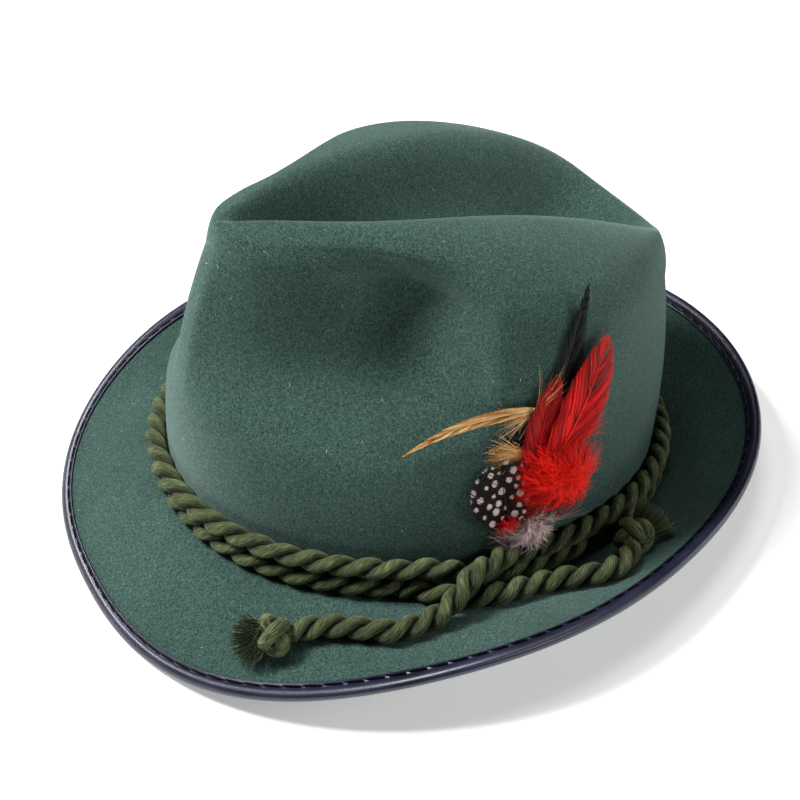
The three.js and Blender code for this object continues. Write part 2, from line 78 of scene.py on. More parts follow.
# %% Sizes
HEAD_LENGTH, HEAD_WIDTH, HEAD_FRONT_SHARE, OVAL_POWER = 206, 168, 0.488, 2.15
CROWN_HEIGHT, CREASE_DEPTH = 124, 30
BRIM_WIDTH, BRIM_CURL = 50, 1.45
FELT_THICKNESS, BREAK_RADIUS = 2, 1.5
ROLL_RADIUS, TAPE_THICKNESS, BINDING_WIDTH = 2.7, 0.7, 7.6
FELT_IN_ROLL, BINDING_CLEARANCE = 1.2, 0.3
BAND_RADIUS, TAIL_RADIUS, KNOT_RADIUS = 3.8, 4.1, 6.8
CORD_CLEARANCE = 0.55
SPRAY_SIZE, VANE_CLEARANCE, VANE_THICKNESS = 100, 0.4, 1
PRESS = 0.7


def table(headings, rows):
    """A table as one array for each column heading."""
    return dict(zip(headings.split(), np.array(rows, float).T))


SECTIONS = table("bearing brim lift ridge drop ridge_side ridge_back shoulder_out belly crease", [
    (0, 0.835, -0.67, 0.98, 0.08, 0.11, -0.89, 0.94, 0.087, 0.22),
    (30, 0.955, -0.485, 0.998, 0.12, 0.178, -0.79, 0.725, 0.098, 0.5),
    (60, 1.0, 0.01, 1.015, 0.165, 0.325, -0.465, 0.685, 0.083, 0.9),
    (90, 0.945, 0.29, 1.018, 0.19, 0.425, 0.0, 0.875, 0.042, 1.0),
    (120, 0.845, 0.39, 0.957, 0.163, 0.56, 0.47, 0.9, 0.021, 1.0),
    (150, 0.885, 0.56, 0.852, 0.122, 0.74, 0.79, 0.89, 0.04, 0.65),
    (180, 0.89, 0.735, 0.8, 0.11, 0.86, 0.87, 0.935, 0.052, 0.25),
])
CREASE_FRONT, CREASE_BACK = 0.8, 0.75
SHOULDER_POWER = 1.75
PINCH = dict(bearing=40, span=37, up=0.66, below=0.29, above=0.31, depth=0.25, rim=0.4)

# %% [markdown]
# ## The surface of the felt
# The outer skin is followed from the crease's middle line up to the ridge, over the
# shoulder, down the wall, round the break and out along the brim. Each part has its own
# formula, and each ends where the next one starts. The felt could be sculpted by eye, but
# a formula also tells the cord, the tape and the feathers where the felt is.

# %% Shape of the felt
def cosine_series(values):
    """Strengths of the waves whose sum passes through each value in turn."""
    last = len(values) - 1
    row = np.arange(last + 1)
    weight = np.where(row % last == 0, 0.5, 1.0)
    return 2 / last * weight * (np.cos(np.pi * np.outer(row, row) / last) @ (weight * values))


SERIES = {name: cosine_series(values) for name, values in SECTIONS.items()}


def around(column, bearing):
    """The value of a column of the table at any bearing: its cosine series."""
    angle = np.radians(bearing)
    return sum(strength * np.cos(wave * angle) for wave, strength in enumerate(SERIES[column]))


def head_reach(bearing):
    """A superellipse, longer behind the ears: (length share)^p + (width share)^p = 1."""
    angle = np.radians(bearing)
    share = np.where(np.cos(angle) > 0, HEAD_FRONT_SHARE, 1 - HEAD_FRONT_SHARE)
    lengthwise = np.abs(np.cos(angle)) / (HEAD_LENGTH * share)
    crosswise = np.abs(np.sin(angle)) / (HEAD_WIDTH / 2)
    return (lengthwise**OVAL_POWER + crosswise**OVAL_POWER) ** (-1 / OVAL_POWER)


def ridge_height(bearing):
    """Height of the crest over the brim's root."""
    return around("ridge", bearing) * CROWN_HEIGHT


def wall_height(bearing):
    """Height of the wall's top: the crest less the shoulder's drop."""
    return ridge_height(bearing) - around("drop", bearing) * CROWN_HEIGHT


def brim_width(bearing):
    """Width of the brim from the head oval to the outside of its bound edge."""
    return around("brim", bearing) * BRIM_WIDTH


def edge_lift(bearing):
    """Height of the edge over the brim's root, below 0 where it is turned down."""
    return around("lift", bearing) * BRIM_WIDTH


def bump(x):
    """A raised cosine: 1 at the middle, 0 at a reach of 1 and beyond."""
    return np.where(np.abs(x) < 1, 0.5 + 0.5 * np.cos(np.pi * x), 0)


def pinch_depth(bearing, up):
    """The two front pinches: a raised cosine round the crown times one up the wall. Where
    they start at the side and under the ridge, a power of it makes the rim steeper."""
    side = np.abs((bearing + 180) % 360 - 180)
    rise = up / CROWN_HEIGHT - PINCH["up"]
    reach = np.where(rise < 0, PINCH["below"], PINCH["above"])
    steep = np.where(rise < 0, 1.0, PINCH["rim"])
    depth = bump((side - PINCH["bearing"]) / PINCH["span"]) ** PINCH["rim"] * bump(rise / reach) ** steep
    return depth * PINCH["depth"] * HEAD_WIDTH / 2


def wall_reach(bearing, up):
    """The head oval, leaning in to the shoulder, plus a belly that is widest half way up."""
    head = head_reach(bearing)
    share = up / wall_height(bearing)
    lean = (around("shoulder_out", bearing) - 1) * head * share
    return head + lean + around("belly", bearing) * HEAD_WIDTH / 2 * 4 * share * (1 - share)


def ridge_point(bearing):
    """The crest of the ridge, beside and behind the crown's middle."""
    side = around("ridge_side", bearing) * np.sin(np.radians(bearing)) * HEAD_WIDTH / 2
    return side, around("ridge_back", bearing) * HEAD_LENGTH / 2, ridge_height(bearing)


def top_point(bearing, share):
    """From the crease's middle line, which runs from front to back, up a half cosine to
    the ridge. Gives x, y and height before the hat is tipped."""
    x, y, up = ridge_point(bearing)
    foot = y * np.where(y < 0, CREASE_FRONT, CREASE_BACK)
    fall = 0.5 + 0.5 * np.cos(np.pi * share)
    return x * share, foot + (y - foot) * share, up - around("crease", bearing) * CREASE_DEPTH * fall


def shoulder_point(bearing, turn):
    """A quarter of a superellipse from the ridge down to the wall, less the pinch."""
    x, y, top = ridge_point(bearing)
    across, rise = np.cos(turn) ** (2 / SHOULDER_POWER), np.sin(turn) ** (2 / SHOULDER_POWER)
    up = top - around("drop", bearing) * CROWN_HEIGHT * (1 - rise)
    angle, pinch = np.radians(bearing), pinch_depth(bearing, up)
    outer = around("shoulder_out", bearing) * head_reach(bearing)
    x = x + (outer * np.sin(angle) - x) * across - pinch * np.sin(angle)
    y = y - (outer * np.cos(angle) + y) * across + pinch * np.cos(angle)
    return x, y, up


def wall_point(bearing, share):
    """Reach and height at a share of the wall, from the break up, less the pinch."""
    up = BREAK_RADIUS + (wall_height(bearing) - BREAK_RADIUS) * share
    return wall_reach(bearing, up) - pinch_depth(bearing, up), up


def break_point(bearing, turn):
    """A quarter circle from the wall's foot out to the brim."""
    up = BREAK_RADIUS * (1 - np.sin(turn))
    return wall_reach(bearing, up) + BREAK_RADIUS * (1 - np.cos(turn)), up


def brim_point(bearing, out):
    """Outward from the head oval, rising as a power of the share of the brim's width."""
    share = np.maximum(0, (out - BREAK_RADIUS) / (brim_width(bearing) - BREAK_RADIUS))
    return head_reach(bearing) + out, edge_lift(bearing) * share**BRIM_CURL


def brim_slope(bearing, out):
    """Rise of the brim for each millimetre outward: the derivative of its power."""
    width = brim_width(bearing) - BREAK_RADIUS
    share = np.maximum(0, (out - BREAK_RADIUS) / width)
    return edge_lift(bearing) * BRIM_CURL * share ** (BRIM_CURL - 1) / width


def off_brim(bearing, out, rise):
    """A point off the brim's upper surface, along its normal."""
    slope = brim_slope(bearing, out)
    length = np.hypot(1, slope)
    reach, up = brim_point(bearing, out)
    return reach - slope * rise / length, up + rise / length


def beside_roll(bearing, outward, upward):
    """A point beside the middle of the roll at the hat's edge, in line with the brim."""
    out = brim_width(bearing) - ROLL_RADIUS
    slope = brim_slope(bearing, out)
    length = np.hypot(1, slope)
    reach, up = off_brim(bearing, out, -FELT_THICKNESS / 2)
    return reach + (outward - upward * slope) / length, up + (outward * slope + upward) / length


reaches = [round(float(head_reach(bearing)), 1) for bearing in (0, 90, 180)]
print("head oval to the front, side and back, mm:", reaches)

# %% [markdown]
# ## How the hat rests
# The front of the brim is turned down and the back is turned up. Set down by itself, the
# hat tips back until it stands on the front of its edge and the back of the crown's foot.

# %% Resting pose
front_foot = beside_roll(0, 0, -ROLL_RADIUS)
back_foot = off_brim(180, BREAK_RADIUS, -FELT_THICKNESS)
REST_TILT = np.arctan2(back_foot[1] - front_foot[1], front_foot[0] + back_foot[0])
REST_LIFT = back_foot[0] * np.sin(REST_TILT) - back_foot[1] * np.cos(REST_TILT) - PRESS


def tipped(bearing, point):
    """Turns reach, bearing and height into x, y, z, and tips the hat back."""
    reach, up = np.broadcast_arrays(*point)
    x = reach * np.sin(np.radians(bearing))
    y = -reach * np.cos(np.radians(bearing))
    return tip_back(x, y, up)


def tip_back(x, y, up):
    """Turns a point by the tilt about the line from left to right, and lifts it."""
    return np.stack([
        x,
        y * np.cos(REST_TILT) + up * np.sin(REST_TILT),
        up * np.cos(REST_TILT) - y * np.sin(REST_TILT) + REST_LIFT,
    ], -1)


corner = ROLL_RADIUS * np.sqrt(0.5)
ends = [
    tipped(bearing, beside_roll(bearing, *at))[1]
    for bearing in (0, 180)
    for at in ((ROLL_RADIUS, 0), (corner, corner), (corner, -corner), (0, ROLL_RADIUS), (0, -ROLL_RADIUS))
]
MIDDLE = -(min(ends) + max(ends)) / 2


def rest(bearing, point):
    """The same with the origin under the middle of the hat's length."""
    return tipped(bearing, point) + np.array([0, MIDDLE, 0])


def rest_at(x, y, up):
    """A point of the crown's top or shoulder, in place."""
    return tip_back(x, y, up) + np.array([0, MIDDLE, 0])


def pressed(points):
    """Points pressed flat where they would reach below the surface."""
    points = points.copy()
    points[..., 2] = np.maximum(points[..., 2], 0)
    return points


print("tipped back, degrees:", round(float(np.degrees(REST_TILT)), 2), "moved, mm:", round(MIDDLE, 2))

# %% [markdown]
# ## Making a mesh
# Every new piece is a grid of points, as cloth has warp and weft: rows one way, columns
# the other. One helper joins the grid with four-sided faces, another hands whole arrays
# of points and faces to Blender.

# %% Grids and pieces
def grid_faces(rows, columns, round_columns=True, round_rows=False):
    """Four corners of each face of a grid, counted row by row."""
    i = np.arange(rows if round_rows else rows - 1)[:, None]
    j = np.arange(columns if round_columns else columns - 1)[None, :]
    below, right = (i + 1) % rows, (j + 1) % columns
    corners = [i * columns + j, i * columns + right, below * columns + right, below * columns + j]
    return np.stack(np.broadcast_arrays(*corners), -1).reshape(-1, 4)


def grid_uv(rows, columns, round_columns=True, round_rows=False):
    """Column share and row number at each corner of those faces, unbroken at the seam."""
    i = np.arange(rows if round_rows else rows - 1)[:, None]
    j = np.arange(columns if round_columns else columns - 1)[None, :]
    u = np.stack(np.broadcast_arrays(j + 0 * i, j + 1 + 0 * i, j + 1, j + 0 * i), -1)
    v = np.stack(np.broadcast_arrays(i + 0 * j, i + 0 * j, i + 1 + 0 * j, i + 1 + 0 * j), -1)
    return np.stack([u, v], -1).reshape(-1, 2).astype(float)


def distance_along(line):
    """Distance from the first point of a line to each of its points."""
    return np.concatenate([[0], np.cumsum(np.linalg.norm(np.diff(line, axis=0), axis=1))])


def closed_rings(rings, line, distance, turns=0.0):
    """Rings round a line, closed by a point of the line at each end. Gives points, faces
    and corner uv, which is the share of a turn, plus `turns`, and the distance."""
    rows, sides = rings.shape[:2]
    count, ring = rows * sides, np.arange(sides)
    onward = (ring + 1) % sides
    first = np.stack([np.full(sides, count), onward, ring], -1)
    last = np.stack([np.full(sides, count + 1), count - sides + ring, count - sides + onward], -1)
    points = np.vstack([rings.reshape(-1, 3), line[:1], line[-1:]])
    u, v = grid_uv(rows, sides).T
    uv = np.stack([u / sides + turns, np.interp(v, np.arange(rows), distance)], -1)
    uv = np.vstack([uv, np.zeros((6 * sides, 2))])
    return points, [grid_faces(rows, sides), np.vstack([first, last])], uv


def bundle(tubes):
    """Several closed tubes as one mesh."""
    points, faces, uvs, start = [], [], [], 0
    for tube_points, tube_faces, uv in tubes:
        points.append(tube_points)
        faces += [part + start for part in tube_faces]
        uvs.append(uv)
        start += len(tube_points)
    return np.vstack(points), faces, np.vstack(uvs)


def new_piece(name, points, faces, material, uv=None, shades=None):
    """A mesh object from points in millimetres. faces: arrays with one row a face.
    uv: two numbers for each face corner. shades: one number for each point."""
    mesh = bpy.data.meshes.new(name)
    points = np.asarray(points, float).reshape(-1, 3) * MM
    corners = np.concatenate([np.asarray(f).ravel() for f in faces]).astype(np.int32)
    sizes = np.concatenate([np.full(len(f), np.shape(f)[1]) for f in faces])
    mesh.vertices.add(len(points))
    mesh.vertices.foreach_set("co", points.astype(np.float32).ravel())
    mesh.loops.add(len(corners))
    mesh.loops.foreach_set("vertex_index", corners)
    mesh.polygons.add(len(sizes))
    starts = np.concatenate([[0], np.cumsum(sizes)[:-1]]).astype(np.int32)
    mesh.polygons.foreach_set("loop_start", starts)
    mesh.polygons.foreach_set("use_smooth", np.ones(len(sizes), bool))
    if uv is not None:
        layer = mesh.uv_layers.new(name="weave")
        layer.data.foreach_set("uv", np.asarray(uv, np.float32).ravel())
    if shades is not None:
        shade = mesh.attributes.new("shade", "FLOAT", "POINT")
        shade.data.foreach_set("value", np.asarray(shades, np.float32).ravel())
    mesh.update(calc_edges=True)
    mesh.materials.append(material)
    piece = bpy.data.objects.new(name, mesh)
    bpy.context.collection.objects.link(piece)
    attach(piece, "root")
    print(name, len(points), "points,", int((sizes - 2).sum()), "triangles")
    return piece


def joined(parts):
    """Points and faces of several meshes as one. parts: pairs of points and faces."""
    points, faces, start = [], [], 0
    for part_points, part_faces in parts:
        points.append(np.reshape(part_points, (-1, 3)))
        faces.append(np.asarray(part_faces) + start)
        start += len(points[-1])
    return np.concatenate(points), faces


# %% [markdown]
# ## Making a finish
# A finish is one shader with a few nodes that feed its colour and its relief. The same
# four helpers build them all: a new material, a node, a ramp of colours and a mix.

# %% Small helpers for materials
def new_material(name, **settings):
    """A material with its shader's fixed values set on the shader's own sockets."""
    material = bpy.data.materials.new(name)
    material.use_nodes = True
    tree = material.node_tree
    shader = tree.nodes["Principled BSDF"]
    for socket, value in settings.items():
        shader.inputs[socket.replace("_", " ")].default_value = value
    return material, tree, shader


def node(tree, kind, inputs=(), **settings):
    """A new node. inputs: pairs of socket name or number and a value or another socket."""
    made = tree.nodes.new("ShaderNode" + kind)
    for name, value in settings.items():
        setattr(made, name, value)
    for socket, value in inputs:
        if isinstance(value, bpy.types.NodeSocket):
            tree.links.new(value, made.inputs[socket])
        else:
            made.inputs[socket].default_value = value
    return made


def ramp(tree, value, stops):
    """Colours that a value runs through. stops: pairs of a position and a colour."""
    made = node(tree, "ValToRGB", [("Fac", value)])
    elements = made.color_ramp.elements
    while len(elements) < len(stops):
        elements.new(0.5)
    for element, (position, color) in zip(elements, stops):
        element.position = position
        element.color = (*color, 1)
    return made.outputs["Color"]


def mixed(tree, kind, share, one, other):
    """Two colours mixed: one at a share of 0, the other at 1."""
    made = node(tree, "Mix", data_type="RGBA", blend_type=kind)
    for socket, value in zip((0, 6, 7), (share, one, other)):
        if isinstance(value, bpy.types.NodeSocket):
            tree.links.new(value, made.inputs[socket])
        else:
            made.inputs[socket].default_value = value if socket == 0 else (*value, 1)
    return made.outputs[2]


# %% [markdown]
# ## The twisted cord
# The cord has two soft plies laid round each other. Seen from the side each ply shows as
# a row of slanting lobes with dark grooves between. Its shape is a profile carried along
# a path: in each plane across the cord the two plies are ovals on either side of the
# middle, and the pair turns evenly along the cord. The wound part and each free end are
# pieces of one real cord, about 1.4 m long up to its knots.

# %% Where the cord lies
BAND_START, BAND_FINISH = 92, 58
LEVEL_CHANGE = (64, 86)
BAND_STEPS = 80
SEAT_STEP = 2.4

FRONT_TAIL_ROUTE = table("bearing out rise", [
    (87.2, 6.2, 12.8), (84.4, 7.2, 13.4), (81, 9.2, 14.1), (78, 11.4, 14.4), (75, 13.8, 14.4),
    (72, 16.8, 13.2), (69.4, 20.2, 9.8), (67.2, 22.2, 6.6), (64.5, 23.6, 4.7), (61, 26.0, 4.7),
    (57.4, 27.0, 4.7), (54, 25.6, 4.7), (50.8, 24.2, 4.7), (47.4, 23.4, 4.7), (44.4, 23.9, 4.7),
    (42.4, 25.4, 4.7), (41.0, 26.9, 4.7),
])
BACK_TAIL_ROUTE = table("bearing out rise", [
    (63, 7.0, 4.6), (65.6, 9.6, 4.7), (68.4, 12.2, 4.7), (71.6, 14.6, 4.7), (75, 16.2, 4.7),
    (79, 17.2, 4.7), (84, 17.6, 4.7), (88, 18.0, 4.7), (92, 19.4, 4.7), (95.4, 22.0, 4.7),
    (98.4, 25.4, 4.7), (101.4, 28.2, 4.7), (104.6, 28.8, 4.7), (107.8, 27.4, 4.7), (110.4, 25.4, 4.7),
])
FRONT_KNOT = table("bearing out girth", [
    (39.3, 28.8, 0.88), (38.0, 29.4, 1.0), (36.8, 29.9, 0.9), (35.9, 30.3, 0.72),
    (34.9, 30.8, 0.84), (33.6, 31.4, 0.98),
])
BACK_KNOT = table("bearing out girth", [
    (112.4, 23.5, 0.88), (114.4, 21.9, 1.0), (116.3, 20.9, 0.9), (117.6, 20.6, 0.66),
    (119.8, 21.4, 0.84), (122.4, 23.2, 1.0),
])


def band_point(bearing, level):
    """The lower turn lies on the brim, the upper between it and the wall. level: 0 or 1."""
    seat = BAND_RADIUS + CORD_CLEARANCE
    pitch = 2 * BAND_RADIUS + CORD_CLEARANCE
    from_wall = BAND_RADIUS + 1.5 * CORD_CLEARANCE
    beside = wall_reach(bearing, seat) - head_reach(bearing) + from_wall
    low_reach, low_up = off_brim(bearing, beside + seat * brim_slope(bearing, beside), seat)
    high_reach = wall_reach(bearing, low_up + pitch * 0.8) + from_wall
    high_up = low_up + np.sqrt(pitch**2 - (low_reach - high_reach) ** 2)
    return low_reach + (high_reach - low_reach) * level, low_up + (high_up - low_up) * level


def smooth_line(points, steps):
    """A smooth curve through points, at even steps: cubic pieces between the points with
    knots spaced by the square root of their distance, cut at equal lengths."""
    points = np.asarray(points, float)
    extended = np.vstack([2 * points[0] - points[1], points, 2 * points[-1] - points[-2]])
    knots = np.concatenate([[0], np.cumsum(np.linalg.norm(np.diff(extended, axis=0), axis=1) ** 0.5)])
    pieces = []
    for i in range(1, len(extended) - 2):
        t0, t1, t2, t3 = knots[i - 1:i + 3]
        p0, p1, p2, p3 = extended[i - 1:i + 3]
        t = np.linspace(t1, t2, 24, endpoint=False)[:, None]
        a1 = (t1 - t) / (t1 - t0) * p0 + (t - t0) / (t1 - t0) * p1
        a2 = (t2 - t) / (t2 - t1) * p1 + (t - t1) / (t2 - t1) * p2
        a3 = (t3 - t) / (t3 - t2) * p2 + (t - t2) / (t3 - t2) * p3
        b1 = (t2 - t) / (t2 - t0) * a1 + (t - t0) / (t2 - t0) * a2
        b2 = (t3 - t) / (t3 - t1) * a2 + (t - t1) / (t3 - t1) * a3
        pieces.append((t2 - t) / (t2 - t1) * b1 + (t - t1) / (t2 - t1) * b2)
    line = np.vstack(pieces + [points[-1:]])
    along = distance_along(line)
    at = np.linspace(0, along[-1], steps + 1)
    return np.stack([np.interp(at, along, line[:, k]) for k in range(3)], -1), along[-1]


def band_route():
    """From the start, up and round, down under the crossing, round again to the finish."""
    bearing = np.linspace(BAND_START, BAND_FINISH + 720, BAND_STEPS + 1)
    share = np.clip((bearing - 360 - LEVEL_CHANGE[0]) / (LEVEL_CHANGE[1] - LEVEL_CHANGE[0]), 0, 1)
    level = 1 - share * share * (3 - 2 * share)
    return rest(bearing, band_point(bearing, level))


def tail_route(bearing, step, level, route):
    """Two points in the band's seat, then the free part along the brim."""
    seats = [rest(at, band_point(at, level)) for at in (bearing, bearing + step)]
    free = rest(route["bearing"], off_brim(route["bearing"], route["out"], route["rise"]))
    return np.vstack([seats, free])


# %% Cord's finish
CORD_DARK, CORD_MIDDLE, CORD_LIGHT = (0.010, 0.014, 0.006), (0.055, 0.074, 0.027), (0.20, 0.24, 0.12)

cotton, tree, shader = new_material(
    "twisted_cotton", Roughness=0.85, Sheen_Weight=0.15, Sheen_Roughness=0.45, Specular_IOR_Level=0.2)
shader.inputs["Sheen Tint"].default_value = (0.75, 0.85, 0.5, 1)
uv = node(tree, "UVMap", uv_map="weave").outputs["UV"]
place = node(tree, "TexCoord").outputs["Object"]
fibre_lines = node(tree, "Mapping", [("Vector", uv), ("Scale", (46, 0.3, 1))])
fibres = node(tree, "TexNoise", [
    ("Vector", fibre_lines.outputs[0]), ("Scale", 1.0), ("Detail", 4.0), ("Roughness", 0.65)])
patches = node(tree, "TexNoise", [("Vector", place), ("Scale", 90.0), ("Detail", 3.0)])
fibre_color = ramp(tree, fibres.outputs["Fac"], [(0.38, CORD_DARK), (0.5, CORD_MIDDLE), (0.64, CORD_LIGHT)])
patch_color = ramp(tree, patches.outputs["Fac"], [(0.3, (0.55, 0.55, 0.55)), (0.7, (1.15, 1.15, 1.1))])
cotton_color = mixed(tree, "MULTIPLY", 1.0, fibre_color, patch_color)
# Painted shade: each point's shade darkens the cotton's colour, darkest where the plies meet in their
# grooves, deep inside the knots and in the brushes' middles.
groove = node(tree, "Attribute", attribute_name="shade")
painted_shade_color = ramp(tree, groove.outputs["Fac"], [
    (0.0, (0.04, 0.04, 0.04)), (0.45, (0.6, 0.6, 0.6)), (1.0, (1.15, 1.15, 1.15))])
tree.links.new(mixed(tree, "MULTIPLY", 1.0, cotton_color, painted_shade_color), shader.inputs["Base Color"])
fuzz = node(tree, "TexNoise", [("Vector", place), ("Scale", 2600.0), ("Detail", 2.0)])
height = node(tree, "Math", [(0, fibres.outputs["Fac"]), (1, fuzz.outputs["Fac"])], operation="ADD")
cord_relief = node(tree, "Bump", [("Height", height.outputs[0]), ("Strength", 0.9), ("Distance", 0.0005)])
tree.links.new(cord_relief.outputs[0], shader.inputs["Normal"])

# %% Two plies along a path
PLY_OFFSET, PLY_THICK, PLY_WIDE = 0.25, 0.285, 0.355
PLY_SIDES = 20
WAVER_PERIODS, SWELL_PERIOD, UNEVEN = (5.1, 8.3, 13.7), 3.3, 0.05


def frames_along(line):
    """Along, side and up directions at each point of a line that runs near level."""
    along = np.gradient(line, axis=0)
    along /= np.linalg.norm(along, axis=1, keepdims=True)
    side = np.cross(along, (0, 0, 1))
    side /= np.linalg.norm(side, axis=1, keepdims=True)
    return along, side, np.cross(side, along)


def twisted_plies(line, diameter, lay, phase):
    """Two plies round a line. Each is an oval, thick across the cord and wide along its
    own turn, whose middle stands a quarter of the diameter from the line and turns once
    in each lay. The turn wavers and each ply swells a little, as in soft yarn."""
    along = distance_along(line)
    _, side, up = frames_along(line)
    waver = sum(np.sin(along / period + chance.uniform(0, 6.28)) for period in WAVER_PERIODS)
    angle = 2 * np.pi * along / lay + phase + waver * UNEVEN
    turn = 2 * np.pi * np.arange(PLY_SIDES) / PLY_SIDES
    plies, shades = [], []
    for ply in (0, np.pi):
        outward = np.cos(angle + ply)[:, None] * side + np.sin(angle + ply)[:, None] * up
        onward = -np.sin(angle + ply)[:, None] * side + np.cos(angle + ply)[:, None] * up
        swell = 1 + UNEVEN * np.sin(along / SWELL_PERIOD + chance.uniform(0, 6.28))
        swell = swell[:, None, None] * diameter
        middle = line + outward * (PLY_OFFSET * diameter)
        rings = (
            middle[:, None]
            + outward[:, None] * (np.cos(turn)[None, :, None] * PLY_THICK * swell)
            + onward[:, None] * (np.sin(turn)[None, :, None] * PLY_WIDE * swell))
        plies.append(closed_rings(rings, middle, along, ply))
        # Painted shade: each ply darkens from its outer side to the groove where it meets the other ply.
        painted_groove_shade = 0.5 + 0.5 * np.cos(turn)[None, :] + np.zeros((len(line), 1))
        shades.append(np.concatenate([painted_groove_shade.ravel(), [0.3, 0.3]]))
    return *bundle(plies), np.concatenate(shades)


# %% Cord pieces
BAND_LAY, TAIL_LAY = 21.0, 18.6


def cord_piece(name, line, diameter, lay, phase, node_name):
    """A twisted cord along a line, in place of one plain node."""
    points, faces, uvs, shades = twisted_plies(line, diameter, lay, phase)
    piece = new_piece(name, points, faces, cotton, uvs, shades)
    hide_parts(node_name)
    return piece


band_line, band_length = smooth_line(band_route(), 1240)
cord_piece("cord_wound", band_line, 2 * BAND_RADIUS, BAND_LAY, 0.4, "cord_band")
front_seats = tail_route(BAND_START, -SEAT_STEP, 1, FRONT_TAIL_ROUTE)
back_seats = tail_route(BAND_FINISH, SEAT_STEP, 0, BACK_TAIL_ROUTE)
front_line, front_length = smooth_line(front_seats, 190)
back_line, back_length = smooth_line(back_seats, 170)
front_tail = cord_piece("cord_end_front", front_line, 2 * TAIL_RADIUS, TAIL_LAY, 1.2, "cord_tail_front")
back_tail = cord_piece("cord_end_back", back_line, 2 * TAIL_RADIUS, TAIL_LAY, 2.2, "cord_tail_back")
lengths = round(band_length), "front end", round(front_length), "back end", round(back_length)
print("cord, mm: wound", *lengths)

# %% [markdown]
# ## The knots and their brushes
# Each free end is tied in one overhand knot and the yarns beyond it are cut to a short
# brush. The knot is one strand that runs twice round the cord and three times over and
# under itself. It could be tied in a simulation, but two waves give the same crossings
# and keep the knot in its place. The brush is a bundle of fine yarns that spread from
# one neck, each a tube of its own, so that its cut end shows single yarns.

# %% Tubes
def tube_rings(line, radii, sides):
    """A round tube: a circle of each point's radius in the plane across the line."""
    _, side, up = frames_along(line)
    turn = 2 * np.pi * np.arange(sides) / sides
    radii = np.broadcast_to(radii, (len(line),))[:, None, None]
    circle = np.cos(turn)[None, :, None] * side[:, None] + np.sin(turn)[None, :, None] * up[:, None]
    return line[:, None] + radii * circle


def closed_tube(line, radii, sides):
    """A tube with a point in the middle of each end. Gives points, faces and corner uv."""
    return closed_rings(tube_rings(line, radii, sides), line, distance_along(line))


# %% Knots
LOOP_REACH, LOOP_SWING, LOOP_DEPTH, LOOP_RADIUS = 4.1, 1.3, 3.3, 2.55
CORE_RADIUS, CORE_SWELL = 2.4, 1.2
YARN_RADIUS, YARN_SIDES, YARN_STEPS = 0.27, 5, 7
BRUSH_SPREAD, NECK_SPREAD, NECK_DEPTH = 1.375, 2.2, 2.5
GOLDEN_ANGLE = 2.39996


def knot_stations(knot):
    """Middles and radii along a knot and its brush, one clearance over the brim."""
    radius = knot["girth"] * KNOT_RADIUS
    return rest(knot["bearing"], off_brim(knot["bearing"], knot["out"], radius + CORD_CLEARANCE)), radius


def overhand_knot(start, middles):
    """One strand that runs twice round the cord's line, while its reach and its place
    along the line wave three times. A thick core fills its middle."""
    line, _ = smooth_line(np.vstack([start, middles[:4]]), 24)
    along, side, up = frames_along(line)
    middle, axis, across, upward = line[12], along[12], side[12], up[12]
    turn = np.linspace(0, 2 * np.pi, 140)
    reach = LOOP_REACH + LOOP_SWING * np.cos(3 * turn)
    loop = (
        middle
        + axis * LOOP_DEPTH * np.sin(3 * turn)[:, None]
        + across * (reach * np.cos(2 * turn))[:, None]
        + upward * (reach * np.sin(2 * turn))[:, None])
    core, _ = smooth_line(np.vstack([start - axis * 1.5, middle, middles[3]]), 20)
    swell = CORE_SWELL * np.sin(np.pi * np.linspace(0, 1, 21)) ** 0.8
    tubes = [
        closed_tube(loop, LOOP_RADIUS + 0.2 * np.sin(5 * turn), 20),
        closed_tube(core, CORE_RADIUS + swell, 18)]
    # Painted shade: points of the loop and core near the knot's middle are darker than its outside.
    painted_depth_shades = [np.linalg.norm(tube[0] - middle, axis=1) / (KNOT_RADIUS * 0.95) for tube in tubes]
    return tubes, [np.clip(depth, 0.1, 1) for depth in painted_depth_shades]


def brush(neck, tip, spread, facing, yarns, painted_middle_shade):
    """Fine yarns from a neck to a domed cap. Each ends a golden angle further round and a
    little further out, so that they fill the cap evenly. Painted shade makes the middle
    yarns darkest, down to the shade given for the middle, and darkens each yarn toward the
    neck. facing: what is added to the cord's direction to aim the brush."""
    length = np.linalg.norm(tip - neck)
    axis = (tip - neck) / length + np.array(facing)
    axis /= np.linalg.norm(axis)
    across = np.cross(axis, (0, 0, 1))
    across /= np.linalg.norm(across)
    upward = np.cross(across, axis)
    share = np.linspace(0, 1, YARN_STEPS)[:, None]
    tubes, shades = [], []
    for k in range(yarns):
        spot = np.sqrt((k + 0.5) / yarns)
        outward = across * np.cos(k * GOLDEN_ANGLE) + upward * np.sin(k * GOLDEN_ANGLE)
        root = neck - axis * NECK_DEPTH + outward * NECK_SPREAD * spot
        reach = length * (0.72 + 0.45 * spot - 0.3 * spot**4) * chance.uniform(0.85, 1.1)
        end = neck + axis * reach + outward * BRUSH_SPREAD * spread * spot + chance.normal(0, 0.3, 3)
        strand = root + (end - root) * share + outward * np.sin(np.pi * share) * spot * 0.9
        strand[:, 2] = np.maximum(strand[:, 2], 0.6)
        tubes.append(closed_tube(strand, YARN_RADIUS * (1 - 0.35 * share[:, 0]), YARN_SIDES))
        # Painted shade: the middle yarns are darkest and each yarn darkens toward the neck; a random factor
        # varies each yarn's tone.
        shade = painted_middle_shade + (1 - painted_middle_shade) * spot**1.6
        shade = np.append(np.repeat(shade * share[:, 0] ** 0.5, YARN_SIDES), (0, shade))
        shades.append(shade * chance.uniform(0.7, 1.3))
    return tubes, shades


